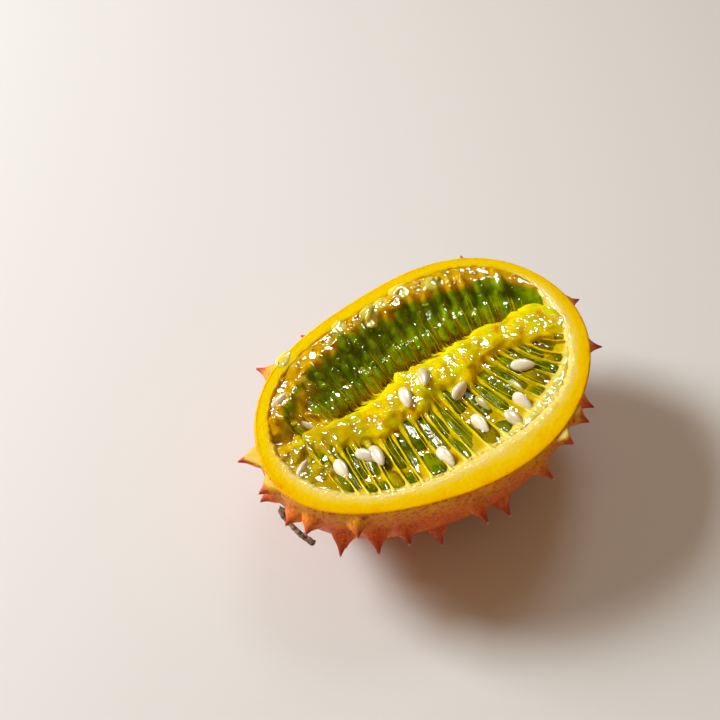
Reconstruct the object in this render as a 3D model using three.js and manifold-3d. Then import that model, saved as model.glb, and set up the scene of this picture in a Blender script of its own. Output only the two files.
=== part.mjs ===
// One half of a horned melon, cut along its length and lying on its skin.
// Millimetres. +X runs along the fruit to its blossom end, +Z is up, the cut face is level.
// Shapes are worked out round the middle of the cut face, then set down on z = 0.

import * as THREE from 'three';
import { mergeVertices } from 'three/addons/utils/BufferGeometryUtils.js';
import Module from 'manifold-3d';

const wasm = await Module();
wasm.setup();

// Driving dimensions
const fruit = { halfLength: 56, halfWidth: 38.8, depth: 38.5, belly: 0.05 };
const wall = { mean: 6.4, bottom: 7 };
const gap = 0.3;

// Slow waves round the fruit, each with its count, its size in mm and its crest in degrees
const skinWaves = [[3, 1.15, 127], [4, 0.5, 125], [5, 0.45, -109]];
const wallWaves = [[1, 2.2, -91], [2, 0.9, 158], [3, 1.2, -58], [4, 1, -38]];

// Horns in plain view: degrees round from +X, degrees below the cut, height
const seenHorns = [
  [162, 2, 6], [176, 4, 4.5], [174, 13, 4.5], [-172, 12, 4.5], [-164, 11, 4.5], [-153, 19, 6.5],
  [-147, 6, 5], [-141, 17, 6.5], [-131, 17, 5], [-107, 13, 6.5], [-86, 8, 6.5], [-76, 3, 4.5],
  [-66, 5, 4.5], [-30, 10, 6], [-8, 6, 5.5], [43, 6, 5.5], [123, 5, 6.5],
];
const horn = { rootRadius: 4.4, sides: 6, spacing: 16, trials: 70, height: 6, spread: 1.2 };
const feet = { places: [[-150, 66], [-30, 66], [90, 68]], height: 10, under: 3 };

// A horn's outline from the sunk root to the tip: share of its height, share of its root radius
const hornOutline = [[-0.3, 1.5], [0.14, 0.78], [0.4, 0.42], [0.7, 0.18]];

// The core runs down the middle with its webs to both sides
const core = { halfLength: 46, halfWidth: 4.4, halfHeight: 3.8, crest: 0.5, septum: 1.1 };
const web = { spacing: 3.75, thickness: 0.6, deep: 3.1, shallow: 0.6, first: -41, count: 22, farShare: 0.56 };
const pulp = { nearHollow: 2, farHollow: 5.5, bedBelow: 0.8, sacBelow: 0.7, sacHeight: 4.6 };
const seed = { halfLength: 3.7, halfWidth: 2, halfThickness: 1.3, coreLift: 0.7, sacLift: -0.45 };

// Seeds: place along and across the fruit, and the heading of the long way in degrees
const coreSeeds = [[-10, -1.2, -117], [-1, 1, -130], [4.2, -8.5, 16], [25, -14.3, -45]];
const nearSeeds = [
  [14.6, -23.5, -88], [9.8, -25, -90], [0.3, -20.7, -96], [-15.1, -22.7, -96],
  [-29.2, -10.5, -108], [-39, -7.5, -102], [6.5, -15.5, -88], [18.6, -17.6, -84],
];
const farSeeds = [[-36.5, 20.5, 14], [-35.5, 13.5, -60], [-31, 18, -50]];

const stalk = { radius: 1.5, flare: 0.9, knob: 0.12, sides: 8, steps: 8, length: 13.5 };

const colours = { rind: '#f2a11c', stem: '#6f6350', placenta: '#dcb912', sacs: '#6f7d10' };

const upAxis = new THREE.Vector3(0, 0, 1);

// The same draw every run
function makeDraw(start) {
  let state = start;
  return () => {
    state = (state * 1664525 + 1013904223) % 4294967296;
    return state / 4294967296;
  };
}

function waveSum(waves, turn) {
  return waves.reduce((sum, [count, size, crest]) =>
    sum + size * Math.cos(count * turn - THREE.MathUtils.degToRad(crest)), 0);
}

// Solids from three.js geometry and back
function toSolid(geometry) {
  const bare = geometry.clone();
  bare.deleteAttribute('normal');
  bare.deleteAttribute('uv');
  const merged = mergeVertices(bare, 1e-4);
  const vertProperties = new Float32Array(merged.attributes.position.array);
  const triVerts = new Uint32Array(merged.index.array);
  return new wasm.Manifold(new wasm.Mesh({ numProp: 3, vertProperties, triVerts }));
}

function toMesh(name, solid, colour, roughness) {
  const { vertProperties, triVerts } = solid.getMesh();
  const geometry = new THREE.BufferGeometry();
  geometry.setAttribute('position', new THREE.BufferAttribute(vertProperties, 3));
  geometry.setIndex(new THREE.BufferAttribute(triVerts, 1));
  geometry.computeVertexNormals();
  const material = new THREE.MeshStandardMaterial({ color: colour, roughness, metalness: 0 });
  const mesh = new THREE.Mesh(geometry, material);
  mesh.name = name;
  return mesh;
}

// Moves every vertex of a plain shape to where place() puts it
function formed(geometry, place) {
  const position = geometry.attributes.position;
  const point = new THREE.Vector3();
  for (let i = 0; i < position.count; i += 1) {
    const moved = place(point.fromBufferAttribute(position, i));
    position.setXYZ(i, moved.x, moved.y, moved.z);
  }
  return toSolid(geometry);
}

function joined(solids) {
  return solids.reduce((sum, solid) => sum.add(solid));
}

// Keeps the one body and drops loose crumbs
function oneBody(solid) {
  return solid.decompose().reduce((most, part) => (part.volume() > most.volume() ? part : most));
}

function slab(low, high) {
  const size = new THREE.Vector3().subVectors(high, low);
  const box = new THREE.BoxGeometry(size.x, size.y, size.z);
  box.translate((low.x + high.x) / 2, (low.y + high.y) / 2, (low.z + high.z) / 2);
  return toSolid(box);
}

// The skin: turn goes round from +X, drop goes down from the cut
function skinPoint(turn, drop) {
  const x = fruit.halfLength * Math.cos(turn);
  const y = fruit.halfWidth * Math.sin(turn);
  const fullness = Math.cos(drop) * (1 + fruit.belly * Math.sin(2 * drop) ** 2);
  const uneven = 1 + (waveSum(skinWaves, turn) * Math.abs(Math.cos(drop)) ** 3) / Math.hypot(x, y);
  return new THREE.Vector3(x * fullness * uneven, y * fullness * uneven, -fruit.depth * Math.sin(drop));
}

function skinNormal(turn, drop) {
  const step = 1e-3;
  const round = skinPoint(turn + step, drop).sub(skinPoint(turn - step, drop));
  const down = skinPoint(turn, drop + step).sub(skinPoint(turn, drop - step));
  return down.cross(round).normalize();
}

// The inside of the flesh, which the pulp fills to within the gap
function cavityPoint(turn, drop, inset) {
  const x = fruit.halfLength * Math.cos(turn);
  const y = fruit.halfWidth * Math.sin(turn);
  const reach = Math.hypot(x, y);
  const share = (1 - (wall.mean + waveSum(wallWaves, turn) + inset) / reach) * Math.cos(drop);
  return new THREE.Vector3(x * share, y * share, -(fruit.depth - wall.bottom - inset) * Math.sin(drop));
}

function bowl(columns, rows, place) {
  const ball = new THREE.SphereGeometry(1, columns, rows).rotateX(Math.PI / 2);
  return formed(ball, (p) => place(Math.atan2(p.y, p.x), -Math.asin(THREE.MathUtils.clamp(p.z, -1, 1))));
}

// Horns: concave spikes on a broad root
function hornProfile(height, sides) {
  const points = hornOutline.map(([level, share]) =>
    new THREE.Vector2(share * horn.rootRadius, level * height));
  points.unshift(new THREE.Vector2(0, points[0].y));
  points.push(new THREE.Vector2(0, height));
  return new THREE.LatheGeometry(points, sides);
}

function hornAt(root, direction, height) {
  const geometry = hornProfile(height, horn.sides);
  const turnTo = new THREE.Quaternion().setFromUnitVectors(new THREE.Vector3(0, 1, 0), direction);
  geometry.applyQuaternion(turnTo);
  geometry.translate(root.x, root.y, root.z);
  return toSolid(geometry);
}

function hornPlaces() {
  const draw = makeDraw(11);
  const places = [];
  const add = (turnDegrees, dropDegrees, height, isFoot) => {
    const turn = THREE.MathUtils.degToRad(turnDegrees);
    const drop = THREE.MathUtils.degToRad(dropDegrees);
    places.push({ root: skinPoint(turn, drop), direction: skinNormal(turn, drop), height, isFoot });
  };
  seenHorns.forEach(([turn, drop, height]) => add(turn, drop, height, false));
  feet.places.forEach(([turn, drop]) => add(turn, drop, feet.height, true));
  for (let i = 0; i < horn.trials; i += 1) {
    const turn = i * 137.5 + 12 * (draw() - 0.5);
    const drop = THREE.MathUtils.radToDeg(Math.asin(0.1 + 0.88 * (i / horn.trials)));
    const height = horn.height + horn.spread * (draw() - 0.5);
    const root = skinPoint(THREE.MathUtils.degToRad(turn), THREE.MathUtils.degToRad(drop));
    const lowest = root.z - height;
    const isFree = places.every((place) => place.root.distanceTo(root) > horn.spacing);
    const isClearOfTable = lowest > -fruit.depth - feet.under + 1;
    if (isFree && isClearOfTable) {
      add(turn, drop, height, false);
    }
  }
  return places;
}

function makeRind() {
  const horns = hornPlaces().map(({ root, direction, height, isFoot }) => {
    const lean = isFoot ? direction.clone().sub(upAxis).normalize() : direction;
    return hornAt(root, lean, height);
  });
  const table = -fruit.depth - feet.under;
  const reach = fruit.halfLength + 20;
  const kept = slab(new THREE.Vector3(-reach, -reach, table), new THREE.Vector3(reach, reach, 0));
  const cavity = bowl(36, 16, (turn, drop) => cavityPoint(turn, drop, 0));
  return joined([bowl(48, 20, skinPoint), ...horns]).intersect(kept).subtract(cavity);
}

// The core line wanders a little from the middle towards both ends
function coreLine(x) {
  return -7 * (x / 42) ** 3;
}

function endFade(x) {
  return Math.sqrt(Math.max(0, 1 - (x / 50) ** 2));
}

// How far the chamber reaches from the core line at x, on the side that sign gives
function chamberReach(x, sign) {
  return Math.max(6, 31 * endFade(x) - sign * coreLine(x));
}

// Height of the pulp: level with the cut at the core and the wall, hollow between
function pulpTop(x, y) {
  const away = y - coreLine(x);
  const share = THREE.MathUtils.clamp(Math.abs(away) / chamberReach(x, Math.sign(away)), 0, 1);
  const hollow = away < 0 ? pulp.nearHollow : pulp.farHollow;
  return -0.6 - hollow * endFade(x) * Math.sin(Math.PI * THREE.MathUtils.clamp(share / 0.94, 0, 1));
}

// A strand runs from the core to the wall, fanned as the webs are
function strandPoint(start, share, sign) {
  const fan = sign < 0
    ? -8 * Math.cos(THREE.MathUtils.degToRad(3.25 * (start + 20)))
    : 2 + start * 0.16;
  const x = start + fan * share;
  return new THREE.Vector2(x, coreLine(x) + sign * share * chamberReach(x, sign));
}

function webStarts(sign) {
  const draw = makeDraw(sign < 0 ? 5 : 6);
  return Array.from({ length: web.count }, (_, i) =>
    web.first + i * web.spacing + 0.5 * (draw() - 0.5));
}

// Webs are deep at the core and shallow at the wall
function webDepth(share) {
  return THREE.MathUtils.lerp(web.deep, web.shallow, share ** 5);
}

// The bed lies under the webs, and rises to the wall sooner where they stop short of it
function bedDepth(share, sign) {
  const reached = Math.min(share, 1);
  const rise = sign < 0 ? 0 : THREE.MathUtils.smoothstep(reached, web.farShare + 0.04, 0.9);
  return THREE.MathUtils.lerp(webDepth(reached), web.shallow, rise) + pulp.bedBelow;
}

function makeWeb(start, sign, grow) {
  const last = (sign < 0 ? 0.97 : web.farShare) + grow / 30;
  const box = new THREE.BoxGeometry(1, 1, 1, 3, 1, 1);
  return formed(box, (p) => {
    const share = THREE.MathUtils.lerp(0.06, last, p.x + 0.5);
    const centre = strandPoint(start, share, sign);
    const ahead = strandPoint(start, share + 0.01, sign).sub(centre).normalize();
    const side = p.y * (web.thickness + 2 * grow);
    const top = pulpTop(centre.x, centre.y) - 0.1;
    const z = p.z > 0 ? top + grow : top - webDepth(share) - grow;
    return new THREE.Vector3(centre.x - ahead.y * side, centre.y + ahead.x * side, z);
  });
}

function makeSeed([x, y, heading], lift, grow) {
  const ball = new THREE.SphereGeometry(1, 6, 5).rotateZ(Math.PI / 2);
  const turn = THREE.MathUtils.degToRad(heading);
  const centre = pulpTop(x, y) + lift;
  return formed(ball, (p) => {
    const along = p.x * (seed.halfLength + grow);
    const across = p.y * (seed.halfWidth + grow) * (1 - 0.25 * p.x);
    return new THREE.Vector3(
      x + along * Math.cos(turn) - across * Math.sin(turn),
      y + along * Math.sin(turn) + across * Math.cos(turn),
      centre + p.z * (seed.halfThickness + grow),
    );
  });
}

function makeCore(grow) {
  const bar = new THREE.CylinderGeometry(1, 1, 2, 8, 20).rotateZ(Math.PI / 2);
  const ridge = formed(bar, (p) => {
    const x = p.x * (core.halfLength + grow);
    const lump = 1 + 0.14 * Math.sin(x * 0.62) + 0.1 * Math.sin(x * 0.27 + 1);
    const width = (core.halfWidth * lump + grow) * (0.35 + 0.65 * endFade(x));
    const middle = core.crest - core.halfHeight;
    return new THREE.Vector3(x, coreLine(x) + p.y * width, middle + p.z * (core.halfHeight * lump + grow));
  });
  const plate = new THREE.BoxGeometry(2, 1, 1, 10, 1, 1);
  const septum = formed(plate, (p) => {
    const x = p.x * (fruit.halfLength - 2);
    const thickness = 2 * (core.septum + grow);
    return new THREE.Vector3(x, coreLine(x) + p.y * thickness, p.z > 0 ? -3 : -fruit.depth);
  });
  const webs = [-1, 1].flatMap((sign) => webStarts(sign).map((start) => makeWeb(start, sign, grow)));
  const seeds = coreSeeds.map((place) => makeSeed(place, seed.coreLift, grow));
  return joined([ridge, septum, ...webs, ...seeds]);
}

// A sac lies between two strands, its root sunk in the bed
function makeSac(startA, startB, from, to, sign) {
  const ball = new THREE.SphereGeometry(1, 5, 5).rotateZ(Math.PI / 2);
  return formed(ball, (p) => {
    const share = THREE.MathUtils.lerp(from, to, (p.x + 1) / 2);
    const a = strandPoint(startA, share, sign);
    const b = strandPoint(startB, share, sign);
    const room = a.distanceTo(b) / 2 - web.thickness / 2 - gap - 0.05;
    const centre = a.clone().lerp(b, 0.5 - (sign * p.y * room) / a.distanceTo(b));
    const halfHeight = pulp.sacHeight / 2;
    const z = pulpTop(centre.x, centre.y) - pulp.sacBelow - halfHeight + p.z * halfHeight;
    return new THREE.Vector3(centre.x, centre.y, z);
  });
}

function makeBed(sign) {
  const block = new THREE.BoxGeometry(1, 1, 1, 14, 7, 1);
  return formed(block, (p) => {
    const x = p.x * 2 * (fruit.halfLength - wall.mean);
    const share = 1.2 * (sign * p.y + 0.5);
    const y = coreLine(x) + sign * (core.septum + gap + share * chamberReach(x, sign));
    const z = p.z > 0 ? pulpTop(x, y) - bedDepth(share, sign) : -fruit.depth;
    return new THREE.Vector3(x, y, z);
  });
}

const fill = bowl(36, 16, (turn, drop) => cavityPoint(turn, drop, gap));

function makeChamber(sign, seedPlaces, rows) {
  const starts = webStarts(sign);
  const sacs = rows.flatMap(([from, to]) =>
    starts.slice(1).map((start, i) => makeSac(starts[i], start, from, to, sign)));
  const seeds = seedPlaces.map((place) => makeSeed(place, seed.sacLift, 0));
  return joined([makeBed(sign), ...sacs]).subtract(makeCore(gap)).add(joined(seeds)).intersect(fill);
}

function makePlacenta() {
  const room = joined([...nearSeeds, ...farSeeds].map((place) => makeSeed(place, seed.sacLift, gap)));
  return makeCore(0).subtract(room).intersect(fill);
}

// The dry stalk leaves the skin at its end and hangs beside it
function makeStalk() {
  const turn = Math.PI;
  const drop = THREE.MathUtils.degToRad(19);
  const out = skinNormal(turn, drop);
  const root = skinPoint(turn, drop).addScaledVector(out, 2 * gap);
  const hang = new THREE.Vector3(0.05, -0.86, -0.5).normalize();
  const path = new THREE.CatmullRomCurve3([
    root,
    root.clone().addScaledVector(out, 2),
    root.clone().addScaledVector(out, 3).addScaledVector(hang, stalk.length / 2),
    root.clone().addScaledVector(out, 1.2).addScaledVector(hang, stalk.length),
  ]);
  const frames = path.computeFrenetFrames(stalk.steps, false);
  const bar = new THREE.CylinderGeometry(1, 1, stalk.steps, stalk.sides, stalk.steps);
  return formed(bar, (p) => {
    const step = Math.round(p.y + stalk.steps / 2);
    const share = step / stalk.steps;
    const radius = stalk.radius + stalk.flare * (1 - share) ** 4 + stalk.knob * Math.sin(9 * share);
    return path.getPointAt(share)
      .addScaledVector(frames.normals[step], p.x * radius)
      .addScaledVector(frames.binormals[step], -p.z * radius);
  });
}

const half = new THREE.Group();
half.add(
  toMesh('rind', oneBody(makeRind()), colours.rind, 0.45),
  toMesh('stem', makeStalk(), colours.stem, 0.9),
  toMesh('placenta', oneBody(makePlacenta()), colours.placenta, 0.25),
  toMesh('sacs_near', oneBody(makeChamber(-1, nearSeeds, [[0.2, 0.97]])), colours.sacs, 0.15),
  toMesh('sacs_far', oneBody(makeChamber(1, farSeeds, [[0.2, 0.56], [0.6, 0.97]])), colours.sacs, 0.15),
);

// Set down on its three feet, with the origin under the middle of its box
const box = new THREE.Box3().setFromObject(half);
const middle = box.getCenter(new THREE.Vector3());
half.position.set(-middle.x, -middle.y, -box.min.z);

const part = new THREE.Group();
part.add(half);
part.updateMatrixWorld(true);

export default part;
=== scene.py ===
import math

import bpy
import numpy as np
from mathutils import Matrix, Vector, noise
from mathutils.bvhtree import BVHTree


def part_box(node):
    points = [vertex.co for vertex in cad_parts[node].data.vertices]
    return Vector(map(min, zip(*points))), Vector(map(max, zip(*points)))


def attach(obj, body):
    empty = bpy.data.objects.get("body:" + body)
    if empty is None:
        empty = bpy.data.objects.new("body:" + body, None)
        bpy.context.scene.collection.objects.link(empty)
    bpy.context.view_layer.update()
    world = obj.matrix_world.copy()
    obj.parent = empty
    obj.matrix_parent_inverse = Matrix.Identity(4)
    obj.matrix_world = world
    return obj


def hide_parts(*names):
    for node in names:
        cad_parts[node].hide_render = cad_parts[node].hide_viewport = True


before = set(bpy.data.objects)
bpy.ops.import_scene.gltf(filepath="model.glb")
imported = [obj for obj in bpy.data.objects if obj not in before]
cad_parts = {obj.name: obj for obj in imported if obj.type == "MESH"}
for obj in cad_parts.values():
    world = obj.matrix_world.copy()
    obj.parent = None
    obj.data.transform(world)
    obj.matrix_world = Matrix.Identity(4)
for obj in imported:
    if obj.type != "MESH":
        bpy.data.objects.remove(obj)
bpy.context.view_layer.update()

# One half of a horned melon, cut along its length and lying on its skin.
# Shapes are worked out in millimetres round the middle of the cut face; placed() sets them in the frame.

mm = 0.001
rimCentre = np.array([0.00067, 0.00193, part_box("rind")[1].z])

# The fruit's own proportions, the same as its solids have
fruit = {"halfLength": 56, "halfWidth": 38.8, "depth": 38.5, "belly": 0.05}
wall = {"mean": 6.4, "bottom": 7}
skinWaves = [(3, 1.15, 127), (4, 0.5, 125), (5, 0.45, -109)]  # count, size, crest in degrees
wallWaves = [(1, 2.2, -91), (2, 0.9, 158), (3, 1.2, -58), (4, 1, -38)]
table = -41.5


# Mesh and node helpers

def placed(points):
    return rimCentre + mm * np.asarray(points, float)


def makeDraw(start):
    state = [start]

    def draw():
        state[0] = (state[0] * 1664525 + 1013904223) % 4294967296
        return state[0] / 4294967296

    return draw


def makeMesh(name, points, faces=(), edges=(), attributes=None):
    mesh = bpy.data.meshes.new(name)
    mesh.from_pydata([tuple(p) for p in points], [tuple(e) for e in edges], [tuple(f) for f in faces])
    for key, values in (attributes or {}).items():
        values = np.asarray(values, float)
        kind = "FLOAT" if values.ndim == 1 else "FLOAT_VECTOR"
        layer = mesh.attributes.new(key, kind, "POINT")
        layer.data.foreach_set("value" if values.ndim == 1 else "vector", values.ravel())
    if faces:
        mesh.shade_smooth()
    mesh.validate()
    return mesh


def makeObject(name, mesh, material=None):
    piece = bpy.data.objects.new(name, mesh)
    bpy.context.scene.collection.objects.link(piece)
    if material:
        mesh.materials.clear()
        mesh.materials.append(material)
    return piece


def pointMesh(name, places, edges=()):
    # A point for each dictionary, at its "at"; what else it holds becomes the point's attributes
    attributes = {key: [p[key] for p in places] for key in places[0] if key != "at"}
    if "size" in attributes:
        attributes["size"] = np.array(attributes["size"]) * mm
    return makeObject(name, makeMesh(name, placed([p["at"] for p in places]), (), edges, attributes))


def lineMesh(name, lines):
    # A chain of points for each list of dictionaries
    edges, count = [], 0
    for line in lines:
        edges += [(count + i, count + i + 1) for i in range(len(line) - 1)]
        count += len(line)
    return pointMesh(name, [p for line in lines for p in line], edges)


def gridFaces(rows, columns, start=0, flip=False):
    # Quads between closed rings of points
    faces = []
    for r in range(rows - 1):
        for c in range(columns):
            a, b = start + r * columns + c, start + r * columns + (c + 1) % columns
            faces.append((a, a + columns, b + columns, b) if flip else (a, b, b + columns, a + columns))
    return faces


def fanFaces(start, columns, pole, flip=False):
    # Triangles from a closed ring of points to one point
    pairs = [(start + c, start + (c + 1) % columns) for c in range(columns)]
    return [(pole, b, a) if flip else (a, b, pole) for a, b in pairs]


def addNode(tree, kind, inputs=None, **settings):
    node = tree.nodes.new(kind)
    for key, value in settings.items():
        setattr(node, key, value)
    for key, value in (inputs or {}).items():
        if isinstance(value, bpy.types.NodeSocket):
            tree.links.new(value, node.inputs[key])
        else:
            node.inputs[key].default_value = value
    return node


def newTree(name, kind, inputs, outputs):
    tree = bpy.data.node_groups.new(name, kind)
    for label, socket, value in inputs:
        made = tree.interface.new_socket(label, in_out="INPUT", socket_type=socket)
        if value is not None:
            made.default_value = value
    for label, socket in outputs:
        tree.interface.new_socket(label, in_out="OUTPUT", socket_type=socket)
    return tree, tree.nodes.new("NodeGroupInput"), tree.nodes.new("NodeGroupOutput")


def grow(piece, tree, **values):
    # Runs a Geometry Nodes tree on the piece and keeps the result as its plain mesh
    modifier = piece.modifiers.new(tree.name, "NODES")
    modifier.node_group = tree
    for item in tree.interface.items_tree:
        key = item.name.replace(" ", "")
        key = key[0].lower() + key[1:]
        if item.in_out == "INPUT" and key in values:
            modifier[item.identifier] = values[key]
    return flatten(piece)


def flatten(piece):
    # Turns what the modifiers make into the piece's own mesh
    view = bpy.context.evaluated_depsgraph_get()
    mesh = bpy.data.meshes.new_from_object(piece.evaluated_get(view), depsgraph=view)
    piece.modifiers.clear()
    old, piece.data = piece.data, mesh
    bpy.data.meshes.remove(old)
    return piece


# The fruit's shape, by the same rules as its solids

def waveSum(waves, turn):
    return sum(size * np.cos(count * turn - math.radians(crest)) for count, size, crest in waves)


def skinPoint(turn, drop):
    x = fruit["halfLength"] * np.cos(turn)
    y = fruit["halfWidth"] * np.sin(turn)
    fullness = np.cos(drop) * (1 + fruit["belly"] * np.sin(2 * drop) ** 2)
    uneven = 1 + waveSum(skinWaves, turn) * np.abs(np.cos(drop)) ** 3 / np.hypot(x, y)
    z = -fruit["depth"] * np.sin(drop) + 0 * x
    return np.stack([x * fullness * uneven, y * fullness * uneven, z], -1)


def skinNormal(turn, drop):
    step = 1e-3
    around = skinPoint(turn + step, drop) - skinPoint(turn - step, drop)
    down = skinPoint(turn, drop + step) - skinPoint(turn, drop - step)
    normal = np.cross(down, around)
    return normal / np.linalg.norm(normal, axis=-1, keepdims=True)


def cavityPoint(turn, drop, inset):
    x = fruit["halfLength"] * np.cos(turn)
    y = fruit["halfWidth"] * np.sin(turn)
    share = (1 - (wall["mean"] + waveSum(wallWaves, turn) + inset) / np.hypot(x, y)) * np.cos(drop)
    z = -(fruit["depth"] - wall["bottom"] - inset) * np.sin(drop)
    return np.stack([x * share, y * share, z + 0 * x], -1)


# How core, hollows and webs lie in the cavity; shares run from the core to the wall
plan = {"coreSwing": -7, "coreLength": 42, "pulpLength": 50, "leastReach": 6, "reach": 31, "top": -0.6,
        "nearHollow": 2.0, "farHollow": 5.5, "hollowEnd": 0.94, "webs": 22, "firstWeb": -41, "webGap": 3.75,
        "webShift": 0.5, "webDepth": 3.1, "webDepthAtWall": 0.6}


def coreLine(x):
    return plan["coreSwing"] * (x / plan["coreLength"]) ** 3


def endFade(x):
    return np.sqrt(np.maximum(0, 1 - (x / plan["pulpLength"]) ** 2))


def chamberReach(x, sign):
    return np.maximum(plan["leastReach"], plan["reach"] * endFade(x) - sign * coreLine(x))


def pulpTop(x, y):
    away = y - coreLine(x)
    share = np.clip(np.abs(away) / chamberReach(x, np.sign(away)), 0, 1)
    hollow = np.where(away < 0, plan["nearHollow"], plan["farHollow"])
    return plan["top"] - hollow * endFade(x) * np.sin(np.pi * np.clip(share / plan["hollowEnd"], 0, 1))


def strandFan(start, sign):
    # How far a web swings along the fruit on its way from the core to the wall
    if sign < 0:
        return -8 * np.cos(np.radians(3.25 * (start + 20)))
    return 2 + 0.16 * start


def strandPoint(start, share, sign):
    x = start + strandFan(start, sign) * share
    return np.stack([x, coreLine(x) + sign * share * chamberReach(x, sign)], -1)


def webStarts(sign):
    draw = makeDraw(5 if sign < 0 else 6)
    return [plan["firstWeb"] + i * plan["webGap"] + plan["webShift"] * (draw() - 0.5)
            for i in range(plan["webs"])]


def webDepth(share):
    return plan["webDepth"] + (plan["webDepthAtWall"] - plan["webDepth"]) * share ** 5


# Shader groups

def objectPlace(tree):
    return addNode(tree, "ShaderNodeTexCoord").outputs["Object"]


def objectHeight(tree):
    return addNode(tree, "ShaderNodeSeparateXYZ", {0: objectPlace(tree)}).outputs["Z"]


def makeMottle():
    tree, given, made = newTree("mottle", "ShaderNodeTree", [
        ("Colour A", "NodeSocketColor", (1, 1, 1, 1)), ("Colour B", "NodeSocketColor", (0, 0, 0, 1)),
        ("Scale", "NodeSocketFloat", 400.0), ("From", "NodeSocketFloat", 0.4),
        ("To", "NodeSocketFloat", 0.6),
    ], [("Colour", "NodeSocketColor"), ("Mask", "NodeSocketFloat")])
    place = objectPlace(tree)
    cloud = addNode(tree, "ShaderNodeTexNoise", {
        "Vector": place, "Scale": given.outputs["Scale"], "Detail": 4.0, "Roughness": 0.6})
    mask = addNode(tree, "ShaderNodeMapRange", {
        "Value": cloud.outputs["Fac"], "From Min": given.outputs["From"], "From Max": given.outputs["To"]},
        interpolation_type="SMOOTHSTEP")
    mix = addNode(tree, "ShaderNodeMix", {
        0: mask.outputs[0], 6: given.outputs["Colour A"], 7: given.outputs["Colour B"]}, data_type="RGBA")
    tree.links.new(mix.outputs[2], made.inputs["Colour"])
    tree.links.new(mask.outputs[0], made.inputs["Mask"])
    return tree


def makeGrain():
    tree, given, made = newTree("grain", "ShaderNodeTree", [
        ("Scale", "NodeSocketFloat", 900.0), ("Height", "NodeSocketFloat", 0.3),
        ("Distance", "NodeSocketFloat", 0.0003), ("Detail", "NodeSocketFloat", 3.0)],
        [("Normal", "NodeSocketVector")])
    place = objectPlace(tree)
    cloud = addNode(tree, "ShaderNodeTexNoise", {
        "Vector": place, "Scale": given.outputs["Scale"], "Detail": given.outputs["Detail"]})
    bump = addNode(tree, "ShaderNodeBump", {
        "Strength": given.outputs["Height"], "Distance": given.outputs["Distance"],
        "Height": cloud.outputs["Fac"]})
    tree.links.new(bump.outputs["Normal"], made.inputs["Normal"])
    return tree


mottle = makeMottle()
grain = makeGrain()


def startMaterial(name, **sockets):
    material = bpy.data.materials.new(name)
    material.use_nodes = True
    tree = material.node_tree
    surface = tree.nodes["Principled BSDF"]
    for key, value in sockets.items():
        label = "".join(" " + c if c.isupper() else c for c in key).strip().title()
        label = label.replace("Ior", "IOR")
        surface.inputs[label].default_value = value
    return material, tree, surface


def addMottle(tree, colourA, colourB, scale, low, high):
    return addNode(tree, "ShaderNodeGroup", {
        "Colour A": colourA, "Colour B": colourB, "Scale": scale, "From": low, "To": high}, node_tree=mottle)


def addGrain(tree, surface, scale, height, distance, detail=3.0, socket="Normal"):
    group = addNode(tree, "ShaderNodeGroup", {
        "Scale": scale, "Height": height, "Distance": distance, "Detail": detail}, node_tree=grain)
    tree.links.new(group.outputs["Normal"], surface.inputs[socket])


def addWetPatches(tree, surface, scale, low, high, least, most=1.0):
    # Lets the coat come and go in soft patches; the "glaze" attribute keeps it whole
    patches = addMottle(tree, (0, 0, 0, 1), (1, 1, 1, 1), scale, low, high)
    weight = addNode(tree, "ShaderNodeMapRange", {
        "Value": patches.outputs["Mask"], "To Min": least, "To Max": most}).outputs[0]
    glazed = addNode(tree, "ShaderNodeMath", {0: weight, 1: readAttribute(tree, "glaze")},
                     operation="MAXIMUM").outputs[0]
    tree.links.new(glazed, surface.inputs["Coat Weight"])


def mixColour(tree, share, colourA, colourB, blend="MIX"):
    return addNode(tree, "ShaderNodeMix", {0: share, 6: colourA, 7: colourB},
                   data_type="RGBA", blend_type=blend).outputs[2]


def readAttribute(tree, name):
    return addNode(tree, "ShaderNodeAttribute", attribute_name=name).outputs["Fac"]


def ramp(tree, value, stops):
    node = addNode(tree, "ShaderNodeValToRGB", {"Fac": value})
    points = node.color_ramp.elements
    while len(points) < len(stops):
        points.new(1.0)
    for point, (place, colour) in zip(points, stops):
        point.position = place
        point.color = (*colour, 1)
    return node.outputs["Color"]


def scaled(tree, value, low, high, toLow=0.0, toHigh=1.0):
    return addNode(tree, "ShaderNodeMapRange", {
        "Value": value, "From Min": low, "From Max": high, "To Min": toLow, "To Max": toHigh},
        interpolation_type="SMOOTHSTEP").outputs[0]


# Materials

# What the inside's moist surfaces have in common
moist = {"roughness": 0.5, "specularIorLevel": 0.0, "subsurfaceWeight": 0.4, "coatIor": 1.8}
# The skin's bottom colour is darker than the rest: the skin's own red, deepened with painted shade of the
# underside
skinLook = {
    "low": (0.52, 0.06, 0.02, 1), "middle": (0.95, 0.15, 0.01, 1), "top": (0.95, 0.42, 0.001, 1),
    "patches": (0.9, 0.24, 0.008, 1), "specks": (0.66, 0.09, 0.04, 1), "dots": (0.93, 0.42, 0.06, 1),
    "horn": (0.5, 0.06, 0.015, 1), "hornTip": (0.62, 0.46, 0.3, 1), "slice": (0.92, 0.6, 0.04, 1)}


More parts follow.
